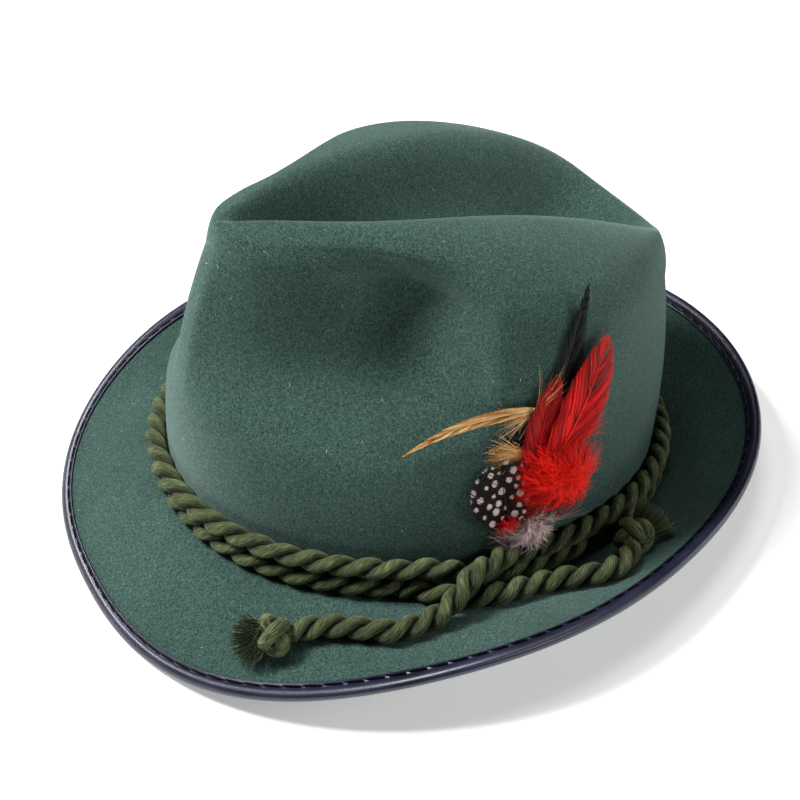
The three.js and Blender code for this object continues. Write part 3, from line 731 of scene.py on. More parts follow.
def knot_piece(name, tail, knot, node_name, facing, yarns, painted_middle_shade):
    """The knot and its brush at the end of a cord, in place of one plain node."""
    middles, radii = knot_stations(knot)
    tubes, shades = overhand_knot(tail[-1], middles)
    fine_yarns, yarn_shades = brush(middles[3], middles[5], radii[5], facing, yarns, painted_middle_shade)
    points, faces, uvs = bundle(tubes + fine_yarns)
    shades = np.clip(np.concatenate(shades + yarn_shades), 0, 1)
    piece = new_piece(name, points, faces, cotton, uvs, shades)
    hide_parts(node_name)
    return piece


front_knot = knot_piece(
    "knot_and_brush_front", front_line, FRONT_KNOT, "cord_knot_front", (0.85, -0.5, 0.75), 260, 0.1)
back_knot = knot_piece(
    "knot_and_brush_back", back_line, BACK_KNOT, "cord_knot_back", (0, 0, 0.2), 220, 0.75)

# %% [markdown]
# ## Felt
# Felt has no weave. Its colour is a fine mottle of many dyed hairs, and its nap is
# brushed, so it glows a little where the surface turns away. The material mixes noises
# of three sizes for hairs, mottle and wear, and adds sheen for the nap.

# %% Felt's finish
FELT_DARK, FELT_MIDDLE, FELT_LIGHT = (0.010, 0.026, 0.021), (0.026, 0.056, 0.046), (0.066, 0.115, 0.098)

felt, tree, shader = new_material(
    "brushed_felt", Roughness=0.95, Sheen_Weight=0.3, Sheen_Roughness=0.5, Specular_IOR_Level=0.08)
shader.inputs["Sheen Tint"].default_value = (0.6, 0.8, 0.75, 1)
place = node(tree, "TexCoord").outputs["Object"]
hairs = node(tree, "TexNoise", [("Vector", place), ("Scale", 2300.0), ("Detail", 3.0), ("Roughness", 0.7)])
mottle = node(tree, "TexNoise", [("Vector", place), ("Scale", 1250.0), ("Detail", 3.0), ("Distortion", 1.0)])
wear = node(tree, "TexNoise", [("Vector", place), ("Scale", 30.0), ("Detail", 3.0)])
grain = node(tree, "Math", [(0, hairs.outputs["Fac"]), (1, 0.5)], operation="MULTIPLY")
both = node(tree, "Math", [
    (0, mottle.outputs["Fac"]), (1, 0.5), (2, grain.outputs[0])], operation="MULTIPLY_ADD")
felt_color = ramp(tree, both.outputs[0], [(0.4, FELT_DARK), (0.5, FELT_MIDDLE), (0.61, FELT_LIGHT)])
wear_color = ramp(tree, wear.outputs["Fac"], [(0.3, (0.88, 0.88, 0.88)), (0.7, (1.12, 1.12, 1.12))])
tree.links.new(mixed(tree, "MULTIPLY", 1.0, felt_color, wear_color), shader.inputs["Base Color"])
felt_relief = node(tree, "Bump", [("Height", both.outputs[0]), ("Strength", 0.6), ("Distance", 0.0004)])
tree.links.new(felt_relief.outputs[0], shader.inputs["Normal"])

# %% Felt body
FELT_COLUMNS = 256


def felt_rows():
    """Reach and height of each row of the outer skin, from the shoulder to the edge."""
    bearing = 360 * np.arange(FELT_COLUMNS) / FELT_COLUMNS
    quarter = np.pi / 2
    rows = [wall_point(bearing, share) for share in np.linspace(1, 0, 42)[1:]]
    rows += [break_point(bearing, turn) for turn in np.linspace(0, quarter, 6)[1:]]
    lip = BINDING_WIDTH + BINDING_CLEARANCE
    reach = brim_width(bearing) - lip - BREAK_RADIUS
    shares = np.linspace(0, 1, 30)[1:-1] ** 1.2
    rows += [brim_point(bearing, BREAK_RADIUS + reach * share) for share in shares]
    under_tape = (ROLL_RADIUS - lip, -FELT_IN_ROLL)
    rows += [beside_roll(bearing, out, FELT_THICKNESS / 2) for out in under_tape]
    return bearing, rows


def felt_surface():
    """Outer skin, then the inner skin one thickness inside along the normal. Its first row
    is the crease's middle line, where left and right sides meet."""
    bearing, rows = felt_rows()
    quarter = np.pi / 2
    top = [rest_at(*top_point(bearing, share)) for share in np.linspace(0, 1, 25)[:-1]]
    shoulder = [rest_at(*shoulder_point(bearing, turn)) for turn in np.linspace(quarter, 0.0001, 18)]
    outer = np.stack(top + shoulder + [rest(bearing, row) for row in rows])
    before = np.concatenate([outer[:1], outer[:-1]])
    after = np.concatenate([outer[1:], outer[-1:]])
    normal = np.cross(np.roll(outer, -1, 1) - np.roll(outer, 1, 1), after - before)
    length = np.linalg.norm(normal, axis=-1, keepdims=True)
    normal = np.where(length > 1e-6, normal / np.maximum(length, 1e-6), (0, 0, -1.0))
    normal[0] = (0, 0, -1)
    return outer, outer + normal * FELT_THICKNESS


outer, inner = felt_surface()
rings = np.concatenate([outer, inner[::-1]])
hat = new_piece(
    "felt_crown_and_brim", pressed(rings), [grid_faces(len(rings), FELT_COLUMNS)[:, ::-1]], felt)
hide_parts("felt_body")

# %% [markdown]
# ## Nap of the felt
# Brushing pulls short hairs out of the felt. They lie almost flat along its grain and
# catch the light, a few of them nearly white. A relief in the finish alone would leave
# the outline of the felt sharp, so each hair is a strip of two faces that stands a
# little off the skin.

# %% Nap
NAP_HAIRS = 44000
NAP_LENGTH, NAP_WIDTH = 1.5, 0.08
NAP_SPREAD, NAP_WHITE = 0.45, 0.003

loose_hair, tree, shader = new_material(
    "loose_felt_hair", Roughness=0.9, Sheen_Weight=0.1, Specular_IOR_Level=0.1)
pale = node(tree, "Attribute", attribute_name="shade")
hair_color = ramp(tree, pale.outputs["Fac"], [
    (0.0, FELT_MIDDLE), (0.7, FELT_LIGHT), (0.95, (0.2, 0.28, 0.25)), (1.0, (0.75, 0.78, 0.72))])
tree.links.new(hair_color, shader.inputs["Base Color"])


def nap(skin, count, seed):
    """Short loose hairs. A cell of the skin's grid is drawn by its area and a spot in it at
    random. From there the hair runs at a low slant, with its tip a little lower again."""
    rng = np.random.default_rng(seed)
    ahead, beside = skin[1:] - skin[:-1], np.roll(skin, -1, 1) - skin
    square = np.cross(beside[:-1], ahead)
    area = np.linalg.norm(square, axis=-1)
    cell = rng.choice(area.size, count, p=(area / area.sum()).ravel())
    row, column = np.divmod(cell, area.shape[1])
    outward = -square[row, column] / np.maximum(area[row, column], 1e-9)[:, None]
    ahead, beside = ahead[row, column], beside[row, column]
    root = skin[row, column] + ahead * rng.random((count, 1)) + beside * rng.random((count, 1))
    lean = ahead / np.linalg.norm(ahead, axis=-1, keepdims=True)
    lean = lean + NAP_SPREAD * rng.standard_normal((count, 3))
    lean -= outward * (lean * outward).sum(-1, keepdims=True)
    lean /= np.linalg.norm(lean, axis=-1, keepdims=True)
    across = np.cross(outward, lean)
    length = NAP_LENGTH * rng.uniform(0.5, 1.3, (count, 1))
    curl = across * length * rng.uniform(-0.3, 0.3, (count, 1))
    middle = root + lean * length * 0.5 + outward * length * 0.2
    tip = root + lean * length * 0.95 + outward * length * rng.uniform(0.05, 0.4, (count, 1)) + curl
    wide = across * NAP_WIDTH / 2
    points = np.stack([root - wide, root + wide, middle - wide * 0.8, middle + wide * 0.8, tip], 1)
    first = 5 * np.arange(count)[:, None]
    shades = rng.beta(2, 3, count) + (rng.random(count) > 1 - NAP_WHITE)
    return points, [first + (0, 1, 3, 2), first + (2, 3, 4)], np.repeat(np.clip(shades, 0, 1), 5)


nap_points, nap_faces, nap_shades = nap(outer, NAP_HAIRS, 5)
new_piece("nap_of_the_felt", nap_points, nap_faces, loose_hair, None, nap_shades)
print("hairs of the nap:", NAP_HAIRS)

# %% [markdown]
# ## The bound edge
# A satin tape is folded over a padded roll and stitched through the felt. Its section is
# the roll's oval and a flat lip above and below the felt. Carried round the edge, that
# one profile follows every rise and fall of the brim.

# %% Binding's finish
TAPE_DARK, TAPE_LIGHT = (0.006, 0.007, 0.019), (0.021, 0.022, 0.050)

satin, tree, shader = new_material(
    "satin_tape", Roughness=0.3, Specular_IOR_Level=0.5)
uv = node(tree, "UVMap", uv_map="weave").outputs["UV"]
place = node(tree, "TexCoord").outputs["Object"]
ribs = node(tree, "TexWave", [
    ("Vector", uv), ("Scale", 1.6), ("Distortion", 0.6), ("Detail", 1.0)], bands_direction="Y")
wear = node(tree, "TexNoise", [("Vector", place), ("Scale", 60.0), ("Detail", 4.0)])
tape_color = ramp(tree, wear.outputs["Fac"], [(0.35, TAPE_DARK), (0.75, TAPE_LIGHT)])
tree.links.new(tape_color, shader.inputs["Base Color"])
tape_relief = node(tree, "Bump", [("Height", ribs.outputs["Fac"]), ("Strength", 0.25), ("Distance", 0.0002)])
tree.links.new(tape_relief.outputs[0], shader.inputs["Normal"])

# %% Binding
TAPE_COLUMNS = 720
ROLL_STEPS, ROLL_TURN = 25, 141
ROLL_FLATNESS, LIP_SHARE = 0.82, 0.86


def tape_section():
    """Outward and upward from the roll's middle: slot, lower lip, roll, upper lip."""
    slot = FELT_THICKNESS / 2 + BINDING_CLEARANCE
    lip_end = ROLL_RADIUS - LIP_SHARE * BINDING_WIDTH
    slot_end = BINDING_CLEARANCE - FELT_IN_ROLL
    turn = np.radians(np.linspace(-ROLL_TURN, ROLL_TURN, ROLL_STEPS))
    roll = np.stack([ROLL_RADIUS * np.cos(turn), ROLL_FLATNESS * ROLL_RADIUS * np.sin(turn)], -1)
    thick = slot + TAPE_THICKNESS
    lip = np.linspace(roll[-1, 0] - 0.25, lip_end + 0.2, 7)
    upper = np.stack([lip, np.full(7, thick)], -1)
    edge = [(lip_end, thick - 0.2), (lip_end, slot + 0.1), (lip_end + 0.1, slot)]
    half = np.vstack([upper, edge, [(slot_end, slot)]])
    lower = half[::-1] * (1, -1)
    return np.vstack([lower, roll, half])


section = tape_section()
bearing = 360 * np.arange(TAPE_COLUMNS) / TAPE_COLUMNS
rings = np.stack([pressed(rest(bearing, beside_roll(bearing, *at))) for at in section], 1)
edge_line = rest(bearing, beside_roll(bearing, 0, 0))
edge_along = distance_along(np.vstack([edge_line, edge_line[:1]]))
u, v = grid_uv(TAPE_COLUMNS, len(section), True, True).T
uvs = np.stack([u / len(section), np.interp(v, np.arange(TAPE_COLUMNS + 1), edge_along)], -1)
tape_faces = grid_faces(TAPE_COLUMNS, len(section), True, True)
tape = new_piece("edge_tape", rings, [tape_faces], satin, uvs)
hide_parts("edge_binding")
print("length of the bound edge, mm:", round(edge_along[-1]))

# %% [markdown]
# ## Stitches of the binding
# The tape is sewn down in the groove between its roll and its upper lip. Long dark
# stitches follow each other there, a little aslant, and dip into the tape at both ends.
# Each is a short closed tube, because a painted dash would cast no shadow.

# %% Stitches
STITCH_PITCH, STITCH_LENGTH, STITCH_RADIUS = 7.6, 7.2, 0.38
STITCH_INSET, STITCH_RISE, STITCH_DIP, STITCH_SLANT = 0.35, 0.08, 0.2, 0.15

thread, tree, shader = new_material("dark_thread", Roughness=0.95, Specular_IOR_Level=0.03)
place = node(tree, "TexCoord").outputs["Object"]
twist = node(tree, "TexNoise", [("Vector", place), ("Scale", 1500.0), ("Detail", 2.0)])
thread_color = ramp(tree, twist.outputs["Fac"], [(0.3, (0.001, 0.001, 0.002)), (0.7, (0.008, 0.009, 0.014))])
tree.links.new(thread_color, shader.inputs["Base Color"])

total = edge_along[-1]
stitch_count = round(total / STITCH_PITCH)
full_turn = 360 * np.arange(TAPE_COLUMNS + 1) / TAPE_COLUMNS
groove = section[len(section) // 2 + ROLL_STEPS // 2, 0] - STITCH_INSET
lip_top = FELT_THICKNESS / 2 + BINDING_CLEARANCE + TAPE_THICKNESS
from_middle = np.linspace(-1, 1, 7)
beside_groove = groove + STITCH_SLANT * from_middle
rise = lip_top + STITCH_RISE - STITCH_DIP * from_middle**4
thickness = STITCH_RADIUS * (1 - 0.5 * from_middle**4)
stitches = []
for k in range(stitch_count):
    along = (k + 0.5) * total / stitch_count + STITCH_LENGTH / 2 * from_middle
    bearing = np.interp(along, edge_along, full_turn)
    line = rest(bearing, beside_roll(bearing, beside_groove, rise))
    stitches.append(closed_tube(line, thickness, 6))
points, faces, uvs = bundle(stitches)
new_piece("stitches_of_the_binding", points, faces, thread, uvs)
print("stitches:", stitch_count)

# %% [markdown]
# ## The feather spray
# A feather is a shaft with a row of barbs on each side. Each barb is a thin strip that
# leaves the shaft at a slant and ends at the vane's outline. Here and there the barbs part
# in small groups, as real ones do. A picture on a flat card would be lighter, but it
# can't part, bend over the crown or catch the light on single barbs.

# %% Places in the spray
FEATHERS = table("root_along root_up tip_along tip_up bow width widest layer", [
    (0.02, 0.4, 0.168, 1.18, 0.012, 0.1, 0.5, 0),
    (-0.035, 0.735, -0.519, 0.552, -0.042, 0.042, 0.3, 0),
    (-0.02, 0.6, -0.15, 0.61, -0.01, 0.06, 0.5, 0),
    (-0.012, 0.38, 0.045, 0.86, 0.025, 0.13, 0.55, 1),
    (-0.02, 0.42, 0.246, 0.985, -0.035, 0.2, 0.6, 2),
    (-0.05, 0.565, -0.21, 0.58, -0.01, 0.05, 0.5, 0),
    (-0.085, 0.265, -0.165, 0.55, 0.005, 0.25, 0.52, 1),
])
FEATHER_NAMES = "black tan dark red_short red_long tuft spotted".split()


def spray_point(along, up, off):
    """Along runs round the crown from the middle of the side, up from the crown's foot,
    and off stands square to the felt. All in millimetres."""
    along, up, off = np.broadcast_arrays(np.asarray(along, float), up, off)
    bearing = 90 + np.degrees(along / (HEAD_WIDTH / 2))
    rise = 0.5
    slope = (wall_reach(bearing, up + rise) - wall_reach(bearing, up - rise)) / (2 * rise)
    length = np.hypot(1, slope)
    return rest(bearing, (wall_reach(bearing, up) + off / length, up - slope * off / length))


def layer_foot(layer):
    """How far off the felt a layer of the spray starts."""
    return VANE_CLEARANCE + layer * (VANE_THICKNESS + VANE_CLEARANCE)


# %% Strips and shafts
def flat_strips(lines, half):
    """Thin strips along lines: strand, step, then along, up and off. half: half width at
    each step."""
    step = np.gradient(lines, axis=1)
    length = np.maximum(np.hypot(step[..., 0], step[..., 1]), 1e-6)
    side = np.stack([-step[..., 1] / length, step[..., 0] / length, 0 * length], -1)
    half = np.broadcast_to(half, lines.shape[:2])[..., None]
    edges = np.stack([lines + side * half, lines - side * half], 2)
    count, steps = lines.shape[:2]
    start = (2 * steps * np.arange(count)[:, None] + 2 * np.arange(steps - 1)[None]).ravel()
    return spray_point(*np.moveaxis(edges, -1, 0)).reshape(-1, 3), start[:, None] + np.array([1, 3, 2, 0])


def half_round(line, thick):
    """A shaft: a half round strip along one line, thin at its tip."""
    step = np.gradient(line, axis=0)
    side = np.stack([-step[:, 1], step[:, 0], 0 * step[:, 0]], -1)
    side /= np.linalg.norm(side, axis=1, keepdims=True)
    turn = np.linspace(np.pi, 0, 5)
    ring = side[:, None] * np.cos(turn)[:, None] + np.array([0, 0, 1]) * np.sin(turn)[:, None]
    points = line[:, None] + ring * np.reshape(thick, (-1, 1, 1))
    return spray_point(*np.moveaxis(points, -1, 0)).reshape(-1, 3), grid_faces(len(line), 5, False)


# %% Vanes
BARB_GROUPS = 97
HAIR_STEPS, HAIR_LIFT, SHAFT_RISE = 6, 2.0, 0.9


def feather_frame(row):
    """Root, direction, square to it, and length of a feather's shaft."""
    root = np.array([row["root_along"], row["root_up"]]) * SPRAY_SIZE
    shaft = np.array([row["tip_along"], row["tip_up"]]) * SPRAY_SIZE - root
    length = np.hypot(*shaft)
    return root, shaft / length, np.array([-shaft[1], shaft[0]]) / length, length


def along_feather(row, t, n, off):
    """A point t along the shaft and n to its left, with the shaft's bow."""
    root, forward, across, length = feather_frame(row)
    share = t / length
    bow = 4 * share * (1 - share) * row["bow"] * SPRAY_SIZE
    flat = root + t[..., None] * forward + (n + bow)[..., None] * across
    return np.concatenate([flat, np.broadcast_to(off, t.shape)[..., None]], -1)


def vane(row, barbs, slant, fullness, seed, steps=7, ragged=0.06, parting=3.0, thick=0.22):
    """Both rows of barbs. Each ends on the outline, whose half width is a power of a sine,
    widest at `widest`, and leaves the shaft as far back as its slant asks. q is the share
    of a barb's length, t its place along the shaft and n its distance from the shaft."""
    rng = np.random.default_rng(seed)
    length = feather_frame(row)[3]
    end = np.repeat(np.linspace(0.06, 1.0, barbs), 2)
    side = np.tile([1.0, -1.0], barbs)
    power = np.log(0.5) / np.log(row["widest"])
    outline = np.sin(np.pi * np.minimum(end, 0.9999) ** power) ** fullness
    half = outline * row["width"] * SPRAY_SIZE / 2
    half *= 1 + ragged * rng.standard_normal(len(half))
    group = np.floor(end * barbs / 9 + side * 0.3 + 0.4 * rng.random(len(end))).astype(int) % BARB_GROUPS
    angle = slant + parting * rng.standard_normal(BARB_GROUPS)[group] + 0.8 * rng.standard_normal(len(end))
    back = half / np.tan(np.maximum(np.radians(angle), 0.08))
    start = np.maximum(end * length - back, 0.01 * length * end)[:, None]
    q = np.linspace(0, 1, steps)
    t = start + (end[:, None] * length - start) * q * (0.8 + 0.2 * q)
    n = (side * half)[:, None] * q**0.9
    foot = layer_foot(row["layer"]) + 0.35
    off = foot + 0.9 * np.sin(np.pi * q * 0.7) * VANE_THICKNESS + 0.12 * rng.standard_normal((len(end), 1))
    lines = along_feather(row, t, n, off)
    width = thick * (1 - 0.75 * q**2) * (0.8 + 0.4 * rng.random((len(end), 1)))
    shade = 0.5 + 0.15 * rng.standard_normal((len(end), 1))
    shade = shade + 0.12 * rng.standard_normal(BARB_GROUPS)[group][:, None]
    return lines, width, shade + 0 * q, t / length, n


def shaft_of(row, end_share, thick):
    """The shaft from its root to a share of its length, thinning toward its end."""
    share = np.linspace(0, 1, 24)
    t = np.linspace(0, end_share, 24) * feather_frame(row)[3]
    line = along_feather(row, t, 0 * t, layer_foot(row["layer"]) + SHAFT_RISE)
    return half_round(line, thick * (1 - 0.8 * share))


def loose_hairs(middle, reach, angles, count, seed, off=1.5, curl=0.25):
    """Single hairs from a middle, at angles in degrees and of lengths between two limits.
    Each bends with the square of its length and rises from `off` as it goes."""
    rng = np.random.default_rng(seed)
    angle = np.radians(rng.uniform(*angles, count))[:, None]
    length = rng.uniform(*reach, count)[:, None]
    q = np.linspace(0, 1, HAIR_STEPS)
    bend = curl * rng.standard_normal((count, 1)) * length * q**2
    start = np.asarray(middle)[None] + rng.normal(0, 0.8, (count, 2))
    along = start[:, :1] + np.cos(angle) * length * q - np.sin(angle) * bend
    up = start[:, 1:] + np.sin(angle) * length * q + np.cos(angle) * bend
    rise = off + HAIR_LIFT * rng.random((count, 1)) * q
    shade = 0.6 + 0.2 * rng.standard_normal((count, 1)) + 0 * q
    return np.stack([along, up, rise], -1), 0.1 * (1 - 0.7 * q), shade


def feather_piece(name, node_name, parts, material):
    """One piece from strips and shafts. parts: points, faces and one shade for each point."""
    points, faces = joined([(points, faces) for points, faces, _ in parts])
    shades = np.concatenate([np.broadcast_to(shade, len(points)) for points, _, shade in parts])
    piece = new_piece(name, points, faces, material, shades=shades)
    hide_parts(node_name)
    return piece


def strips(lines, width, shade, *rest_of_vane):
    """Strips with the shade of each step on both edges. The places along and beside the
    shaft, which a vane gives too, are only needed for spots."""
    points, faces = flat_strips(lines, width)
    return points, faces, np.repeat(np.clip(shade, 0, 1).ravel(), 2)


def plume_material(name, stops, roughness):
    """Colour runs with the shade of each barb, and a little with a fine noise."""
    made, tree, shader = new_material(name, Roughness=roughness, Specular_IOR_Level=0.12)
    shade = node(tree, "Attribute", attribute_name="shade").outputs["Fac"]
    place = node(tree, "TexCoord").outputs["Object"]
    noise = node(tree, "TexNoise", [("Vector", place), ("Scale", 900.0)])
    value = node(tree, "Math", [(0, noise.outputs["Fac"]), (1, 0.24), (2, -0.12)], operation="MULTIPLY_ADD")
    total = node(tree, "Math", [(0, value.outputs[0]), (1, shade)], operation="ADD")
    tree.links.new(ramp(tree, total.outputs[0], stops), shader.inputs["Base Color"])
    return made


ROWS = {name: {key: FEATHERS[key][i] for key in FEATHERS} for i, name in enumerate(FEATHER_NAMES)}

# %% Colours of the feathers
red_plume = plume_material("red_plume", [
    (0.0, (0.06, 0.0004, 0.0008)), (0.35, (0.27, 0.0008, 0.001)), (0.65, (0.6, 0.002, 0.0015)),
    (0.92, (0.92, 0.01, 0.003)), (1.0, (0.95, 0.04, 0.015))], 0.6)
dark_red_plume = plume_material("dark_red_plume", [
    (0.0, (0.03, 0.0005, 0.001)), (0.6, (0.36, 0.001, 0.002)), (1.0, (0.62, 0.006, 0.005))], 0.5)
tan_plume = plume_material("tan_plume", [
    (0.0, (0.14, 0.05, 0.012)), (0.3, (0.45, 0.2, 0.055)), (0.6, (0.72, 0.4, 0.13)),
    (1.0, (0.9, 0.66, 0.36))], 0.42)
black_plume = plume_material("black_plume", [
    (0.0, (0.0006, 0.0006, 0.001)), (0.6, (0.0014, 0.0016, 0.003)), (1.0, (0.006, 0.008, 0.015))], 0.3)
spotted_plume = plume_material("spotted_plume", [
    (0.0, (0.004, 0.002, 0.002)), (0.3, (0.012, 0.006, 0.006)), (0.55, (0.09, 0.045, 0.035)),
    (0.72, (0.45, 0.34, 0.33)), (0.85, (0.68, 0.56, 0.57))], 0.5)
pale_plume = plume_material("pale_plume", [
    (0.0, (0.08, 0.03, 0.03)), (0.4, (0.3, 0.17, 0.165)), (0.75, (0.55, 0.38, 0.37)),
    (1.0, (0.76, 0.66, 0.65))], 0.6)
print("feathers:", *FEATHER_NAMES)

# %% Black feathers
feather_piece("long_black_feather", "feather_black", [
    strips(*vane(ROWS["black"], 230, 15, 0.8, 11, ragged=0.12, parting=2.0, thick=0.3)),
    (*shaft_of(ROWS["black"], 0.9, 0.45), 0.45),
], black_plume)
feather_piece("small_black_feather", "feather_dark", [
    strips(*vane(ROWS["dark"], 60, 26, 0.7, 12, ragged=0.2, parting=6, thick=0.24)),
    strips(*loose_hairs((-3, 61), (5, 13), (120, 215), 24, 13, 1.5)),
], black_plume)

# %% Tan feathers
feather_piece("long_tan_feather", "feather_tan", [
    strips(*vane(ROWS["tan"], 260, 9, 0.85, 21, ragged=0.1, parting=1.0, thick=0.3)),
    (*shaft_of(ROWS["tan"], 0.98, 0.4), 0.95),
    strips(*loose_hairs((-3, 72), (7, 19), (35, 85), 26, 22, 2.0, 0.12)),
    strips(*loose_hairs((-6, 71), (6, 15), (160, 235), 34, 23, 1.5, 0.15)),
], tan_plume)
feather_piece("short_tan_tuft", "feather_tuft", [
    strips(*vane(ROWS["tuft"], 60, 16, 0.8, 24, ragged=0.3, parting=4, thick=0.2)),
    strips(*loose_hairs((-5, 56.5), (7, 17), (150, 205), 110, 25, 1.2, 0.14)),
], tan_plume)

# %% Red feathers
feather_piece("dark_red_feather", "feather_red_short", [
    strips(*vane(ROWS["red_short"], 200, 24, 0.6, 31, ragged=0.08, parting=2.5)),
    (*shaft_of(ROWS["red_short"], 0.92, 0.4), 0.9),
], dark_red_plume)
feather_piece("red_hackle_feather", "feather_red_long", [
    strips(*vane(ROWS["red_long"], 320, 25, 0.62, 32, ragged=0.07, parting=2.2)),
    (*shaft_of(ROWS["red_long"], 0.94, 0.42), 1.0),
    strips(*loose_hairs((16, 58), (6, 15), (5, 60), 60, 33, 3.5, 0.2)),
], red_plume)

# %% [markdown]
# ## The spotted feather
# A guinea fowl's feather is dark, with round pale spots in staggered rows. Each step of
# each barb gets the shade of its own place, so the spots part where the barbs do.

# %% Spotted feather
SPOT_ROW, SPOT_PITCH, SPOT_SIZE = 4.1, 4.4, 1.5


def spots(t, n):
    """Rounded pale spots in staggered rows: 1 at a spot's middle, 0 past its edge. Waves
    of the row and column numbers move each spot a little and change its size."""
    row = np.round(t / SPOT_ROW)
    shift = 0.5 * (row % 2) * SPOT_PITCH
    column = np.round((n - shift) / SPOT_PITCH)
    moved = 0.55 * np.sin(row * 12.9 + column * 78.2), 0.5 * np.sin(row * 39.3 + column * 11.1)
    across = n - shift - column * SPOT_PITCH - moved[0]
    ahead = t - row * SPOT_ROW - moved[1]
    size = SPOT_SIZE * (0.85 + 0.25 * np.sin(row * 5.1 + column * 3.7))
    return np.clip(1.6 - 1.6 * np.hypot(across, 0.85 * ahead) / size, 0, 1)


lines, width, shade, share, n = vane(
    ROWS["spotted"], 130, 50, 0.42, 41, steps=26, ragged=0.03, parting=2, thick=0.26)
streak = 0.22 + 0.25 * (shade - 0.5)
spot = spots(share * feather_frame(ROWS["spotted"])[3], n)
hair_lines, hair_width, hair_shade = loose_hairs((-14, 40), (10, 17), (95, 215), 40, 43, 2.0)
feather_piece("spotted_feather", "feather_spotted", [
    strips(lines, width, streak + (0.92 - streak) * np.clip(2.2 * spot, 0, 1)),
    (*shaft_of(ROWS["spotted"], 0.9, 0.3), 0.35),
    strips(hair_lines, hair_width, 0.5 * hair_shade),
], spotted_plume)

# %% [markdown]
# ## Down
# Down has no hooks to hold its barbs together, so they stand apart as a soft ball. Each
# barb of a tuft carries fine hairs along both sides. A cloud of fog would be simpler to
# make, but only hairs give the broken outline, and numpy makes them all in one array.

# %% Down
BARB_STEPS = 9


def down(middle, angles, reach, barbs, hairs, hair_length, foot, dome, seed, fall=0.0):
    """Loose barbs from a middle, each with two rows of fine hairs along it. The tuft is
    domed: high near its middle and low at its rim."""
    rng = np.random.default_rng(seed)
    angle = np.radians(rng.uniform(*angles, barbs))[:, None]
    length = rng.uniform(*reach, barbs)[:, None]
    q = np.linspace(0, 1, BARB_STEPS)
    bend = 0.22 * rng.standard_normal((barbs, 1)) * length * q**2
    start = np.asarray(middle) + rng.normal(0, 1.8, (barbs, 2))
    along = start[:, :1] + np.cos(angle) * length * q - np.sin(angle) * bend
    up = start[:, 1:] + (np.sin(angle) * length * q + np.cos(angle) * bend) - fall * length * q**2
    high = rng.random((barbs, 1)) ** 0.7
    off = foot + dome * high * np.sin(np.pi * (0.25 + 0.72 * q)) + 0.5 * rng.standard_normal((barbs, 1))
    lines = np.stack([along, up, np.maximum(off, foot)], -1)
    # Painted shade: barbs that stand low in the tuft get a darker tone than the high ones, plus a random
    # tone.
    tone = np.clip(0.3 + 0.55 * high + 0.1 * rng.standard_normal((barbs, 1)), 0, 0.88)
    stem = strips(lines, 0.11 * (1 - 0.6 * q), tone + 0 * q)
    at = np.sort(rng.random((barbs, hairs)), 1) ** 0.8
    index = at * (BARB_STEPS - 1)
    low = np.minimum(index.astype(int), BARB_STEPS - 2)
    part = (index - low)[..., None]
    pick = np.arange(barbs)[:, None]
    foot_point = lines[pick, low] * (1 - part) + lines[pick, low + 1] * part
    ahead = lines[pick, low + 1] - lines[pick, low]
    ahead /= np.linalg.norm(ahead, axis=-1, keepdims=True)
    spread = np.radians(rng.uniform(25, 65, (barbs, hairs)))
    spread *= np.where(rng.random((barbs, hairs)) < 0.5, -1, 1)
    turned = np.stack([
        ahead[..., 0] * np.cos(spread) - ahead[..., 1] * np.sin(spread),
        ahead[..., 0] * np.sin(spread) + ahead[..., 1] * np.cos(spread),
        ahead[..., 2] + 0.35 * rng.standard_normal((barbs, hairs)),
    ], -1)
    q2 = np.linspace(0, 1, 4)
    size = rng.uniform(*hair_length, (barbs, hairs, 1, 1))
    bent = turned[:, :, None] * size * q2[:, None] + ahead[:, :, None] * size * 0.35 * (q2**2)[:, None]
    hair_lines = (foot_point[:, :, None] + bent).reshape(barbs * hairs, 4, 3)
    hair_lines[..., 2] = np.maximum(hair_lines[..., 2], 0.3)
    hair_tone = np.repeat(tone, hairs, 1).reshape(-1, 1) + 0.12 * rng.standard_normal((barbs * hairs, 1))
    return stem, strips(hair_lines, 0.075 * (1 - 0.6 * q2), hair_tone + 0.12 * q2)


feather_piece("red_down", "fluff_red", [
    *down((6.5, 46), (0, 360), (7, 16), 420, 24, (1.4, 3.4), 2.5, 8.0, 51),
    *down((9, 43), (-75, 50), (10, 18), 130, 22, (1.4, 3.2), 3.5, 5.0, 52),
    *down((-10, 29), (190, 330), (3, 7), 22, 14, (1.2, 2.4), 3.0, 3.0, 53),
], red_plume)
feather_piece("pale_down", "fluff_pale", [
    *down((-1, 26), (190, 350), (6, 14), 130, 22, (1.6, 3.4), 1.5, 6.5, 61, fall=0.3),
    *down((-2, 25), (140, 400), (4, 9), 60, 18, (1.4, 3.0), 1.5, 4.0, 62),
    strips(*loose_hairs((8, 25.5), (10, 17), (-8, 14), 5, 63, 6.0, 0.06)),
], pale_plume)

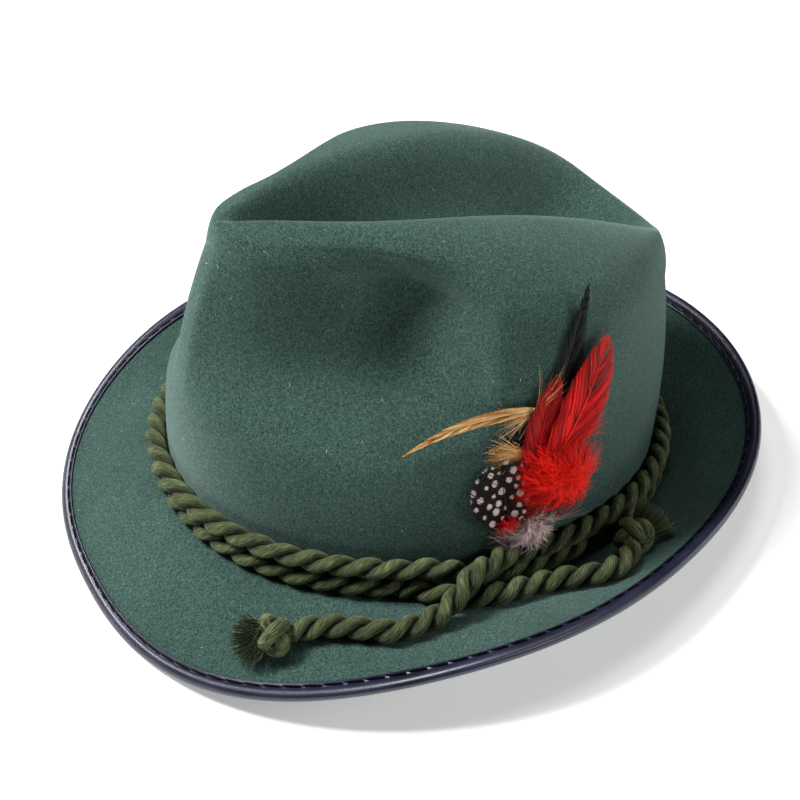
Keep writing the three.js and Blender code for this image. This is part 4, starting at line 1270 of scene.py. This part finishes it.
# %% [markdown]
# ## Studio
# The photograph has a white ground and one broad light from the front. Here a pale floor
# that glows a little runs far past the view, under a faint white sky. Three soft lamps
# have the strengths that bring the felt, the cord and the tape near to the photograph.

# %% Floor and light
FLOOR_REACH, FLOOR_GLOW, SKY_STRENGTH, LAMP_AIM = 6, 0.35, 0.03, 0.06

floor_mesh = bpy.data.meshes.new("floor")
floor_corners = [(-FLOOR_REACH, -FLOOR_REACH, 0), (FLOOR_REACH, -FLOOR_REACH, 0),
                 (FLOOR_REACH, FLOOR_REACH, 0), (-FLOOR_REACH, FLOOR_REACH, 0)]
floor_mesh.from_pydata(floor_corners, [], [(0, 1, 2, 3)])
floor = bpy.data.objects.new("floor", floor_mesh)
bpy.context.collection.objects.link(floor)
paper, tree, shader = new_material(
    "pale_floor", Roughness=0.9, Specular_IOR_Level=0.1, Emission_Strength=FLOOR_GLOW)
place = node(tree, "TexCoord").outputs["Object"]
speckle = node(tree, "TexNoise", [("Vector", place), ("Scale", 40.0)])
paper_color = ramp(tree, speckle.outputs["Fac"], [(0.0, (0.86, 0.86, 0.86)), (1.0, (0.9, 0.9, 0.9))])
tree.links.new(paper_color, shader.inputs["Base Color"])
floor_mesh.materials.append(paper)

world = bpy.data.worlds.new("studio")
world.use_nodes = True
world.node_tree.nodes["Background"].inputs["Color"].default_value = (1, 1, 1, 1)
world.node_tree.nodes["Background"].inputs["Strength"].default_value = SKY_STRENGTH
bpy.context.scene.world = world
bpy.context.scene.view_settings.view_transform = "Standard"


def soft_light(name, place, size, watts):
    """A square lamp that faces the hat."""
    lamp = bpy.data.objects.new(name, bpy.data.lights.new(name, "AREA"))
    lamp.data.size = size
    lamp.data.energy = watts
    lamp.location = Vector(place)
    lamp.rotation_euler = (lamp.location - Vector((0, 0, LAMP_AIM))).to_track_quat("Z", "Y").to_euler()
    bpy.context.collection.objects.link(lamp)
    print(name, "lamp, watts:", watts)


soft_light("key", (-0.42, -0.75, 1.25), 0.4, 39)
soft_light("top", (-0.1, -0.1, 1.5), 0.5, 6)
soft_light("back", (0.8, 0.8, 0.5), 0.4, 6)
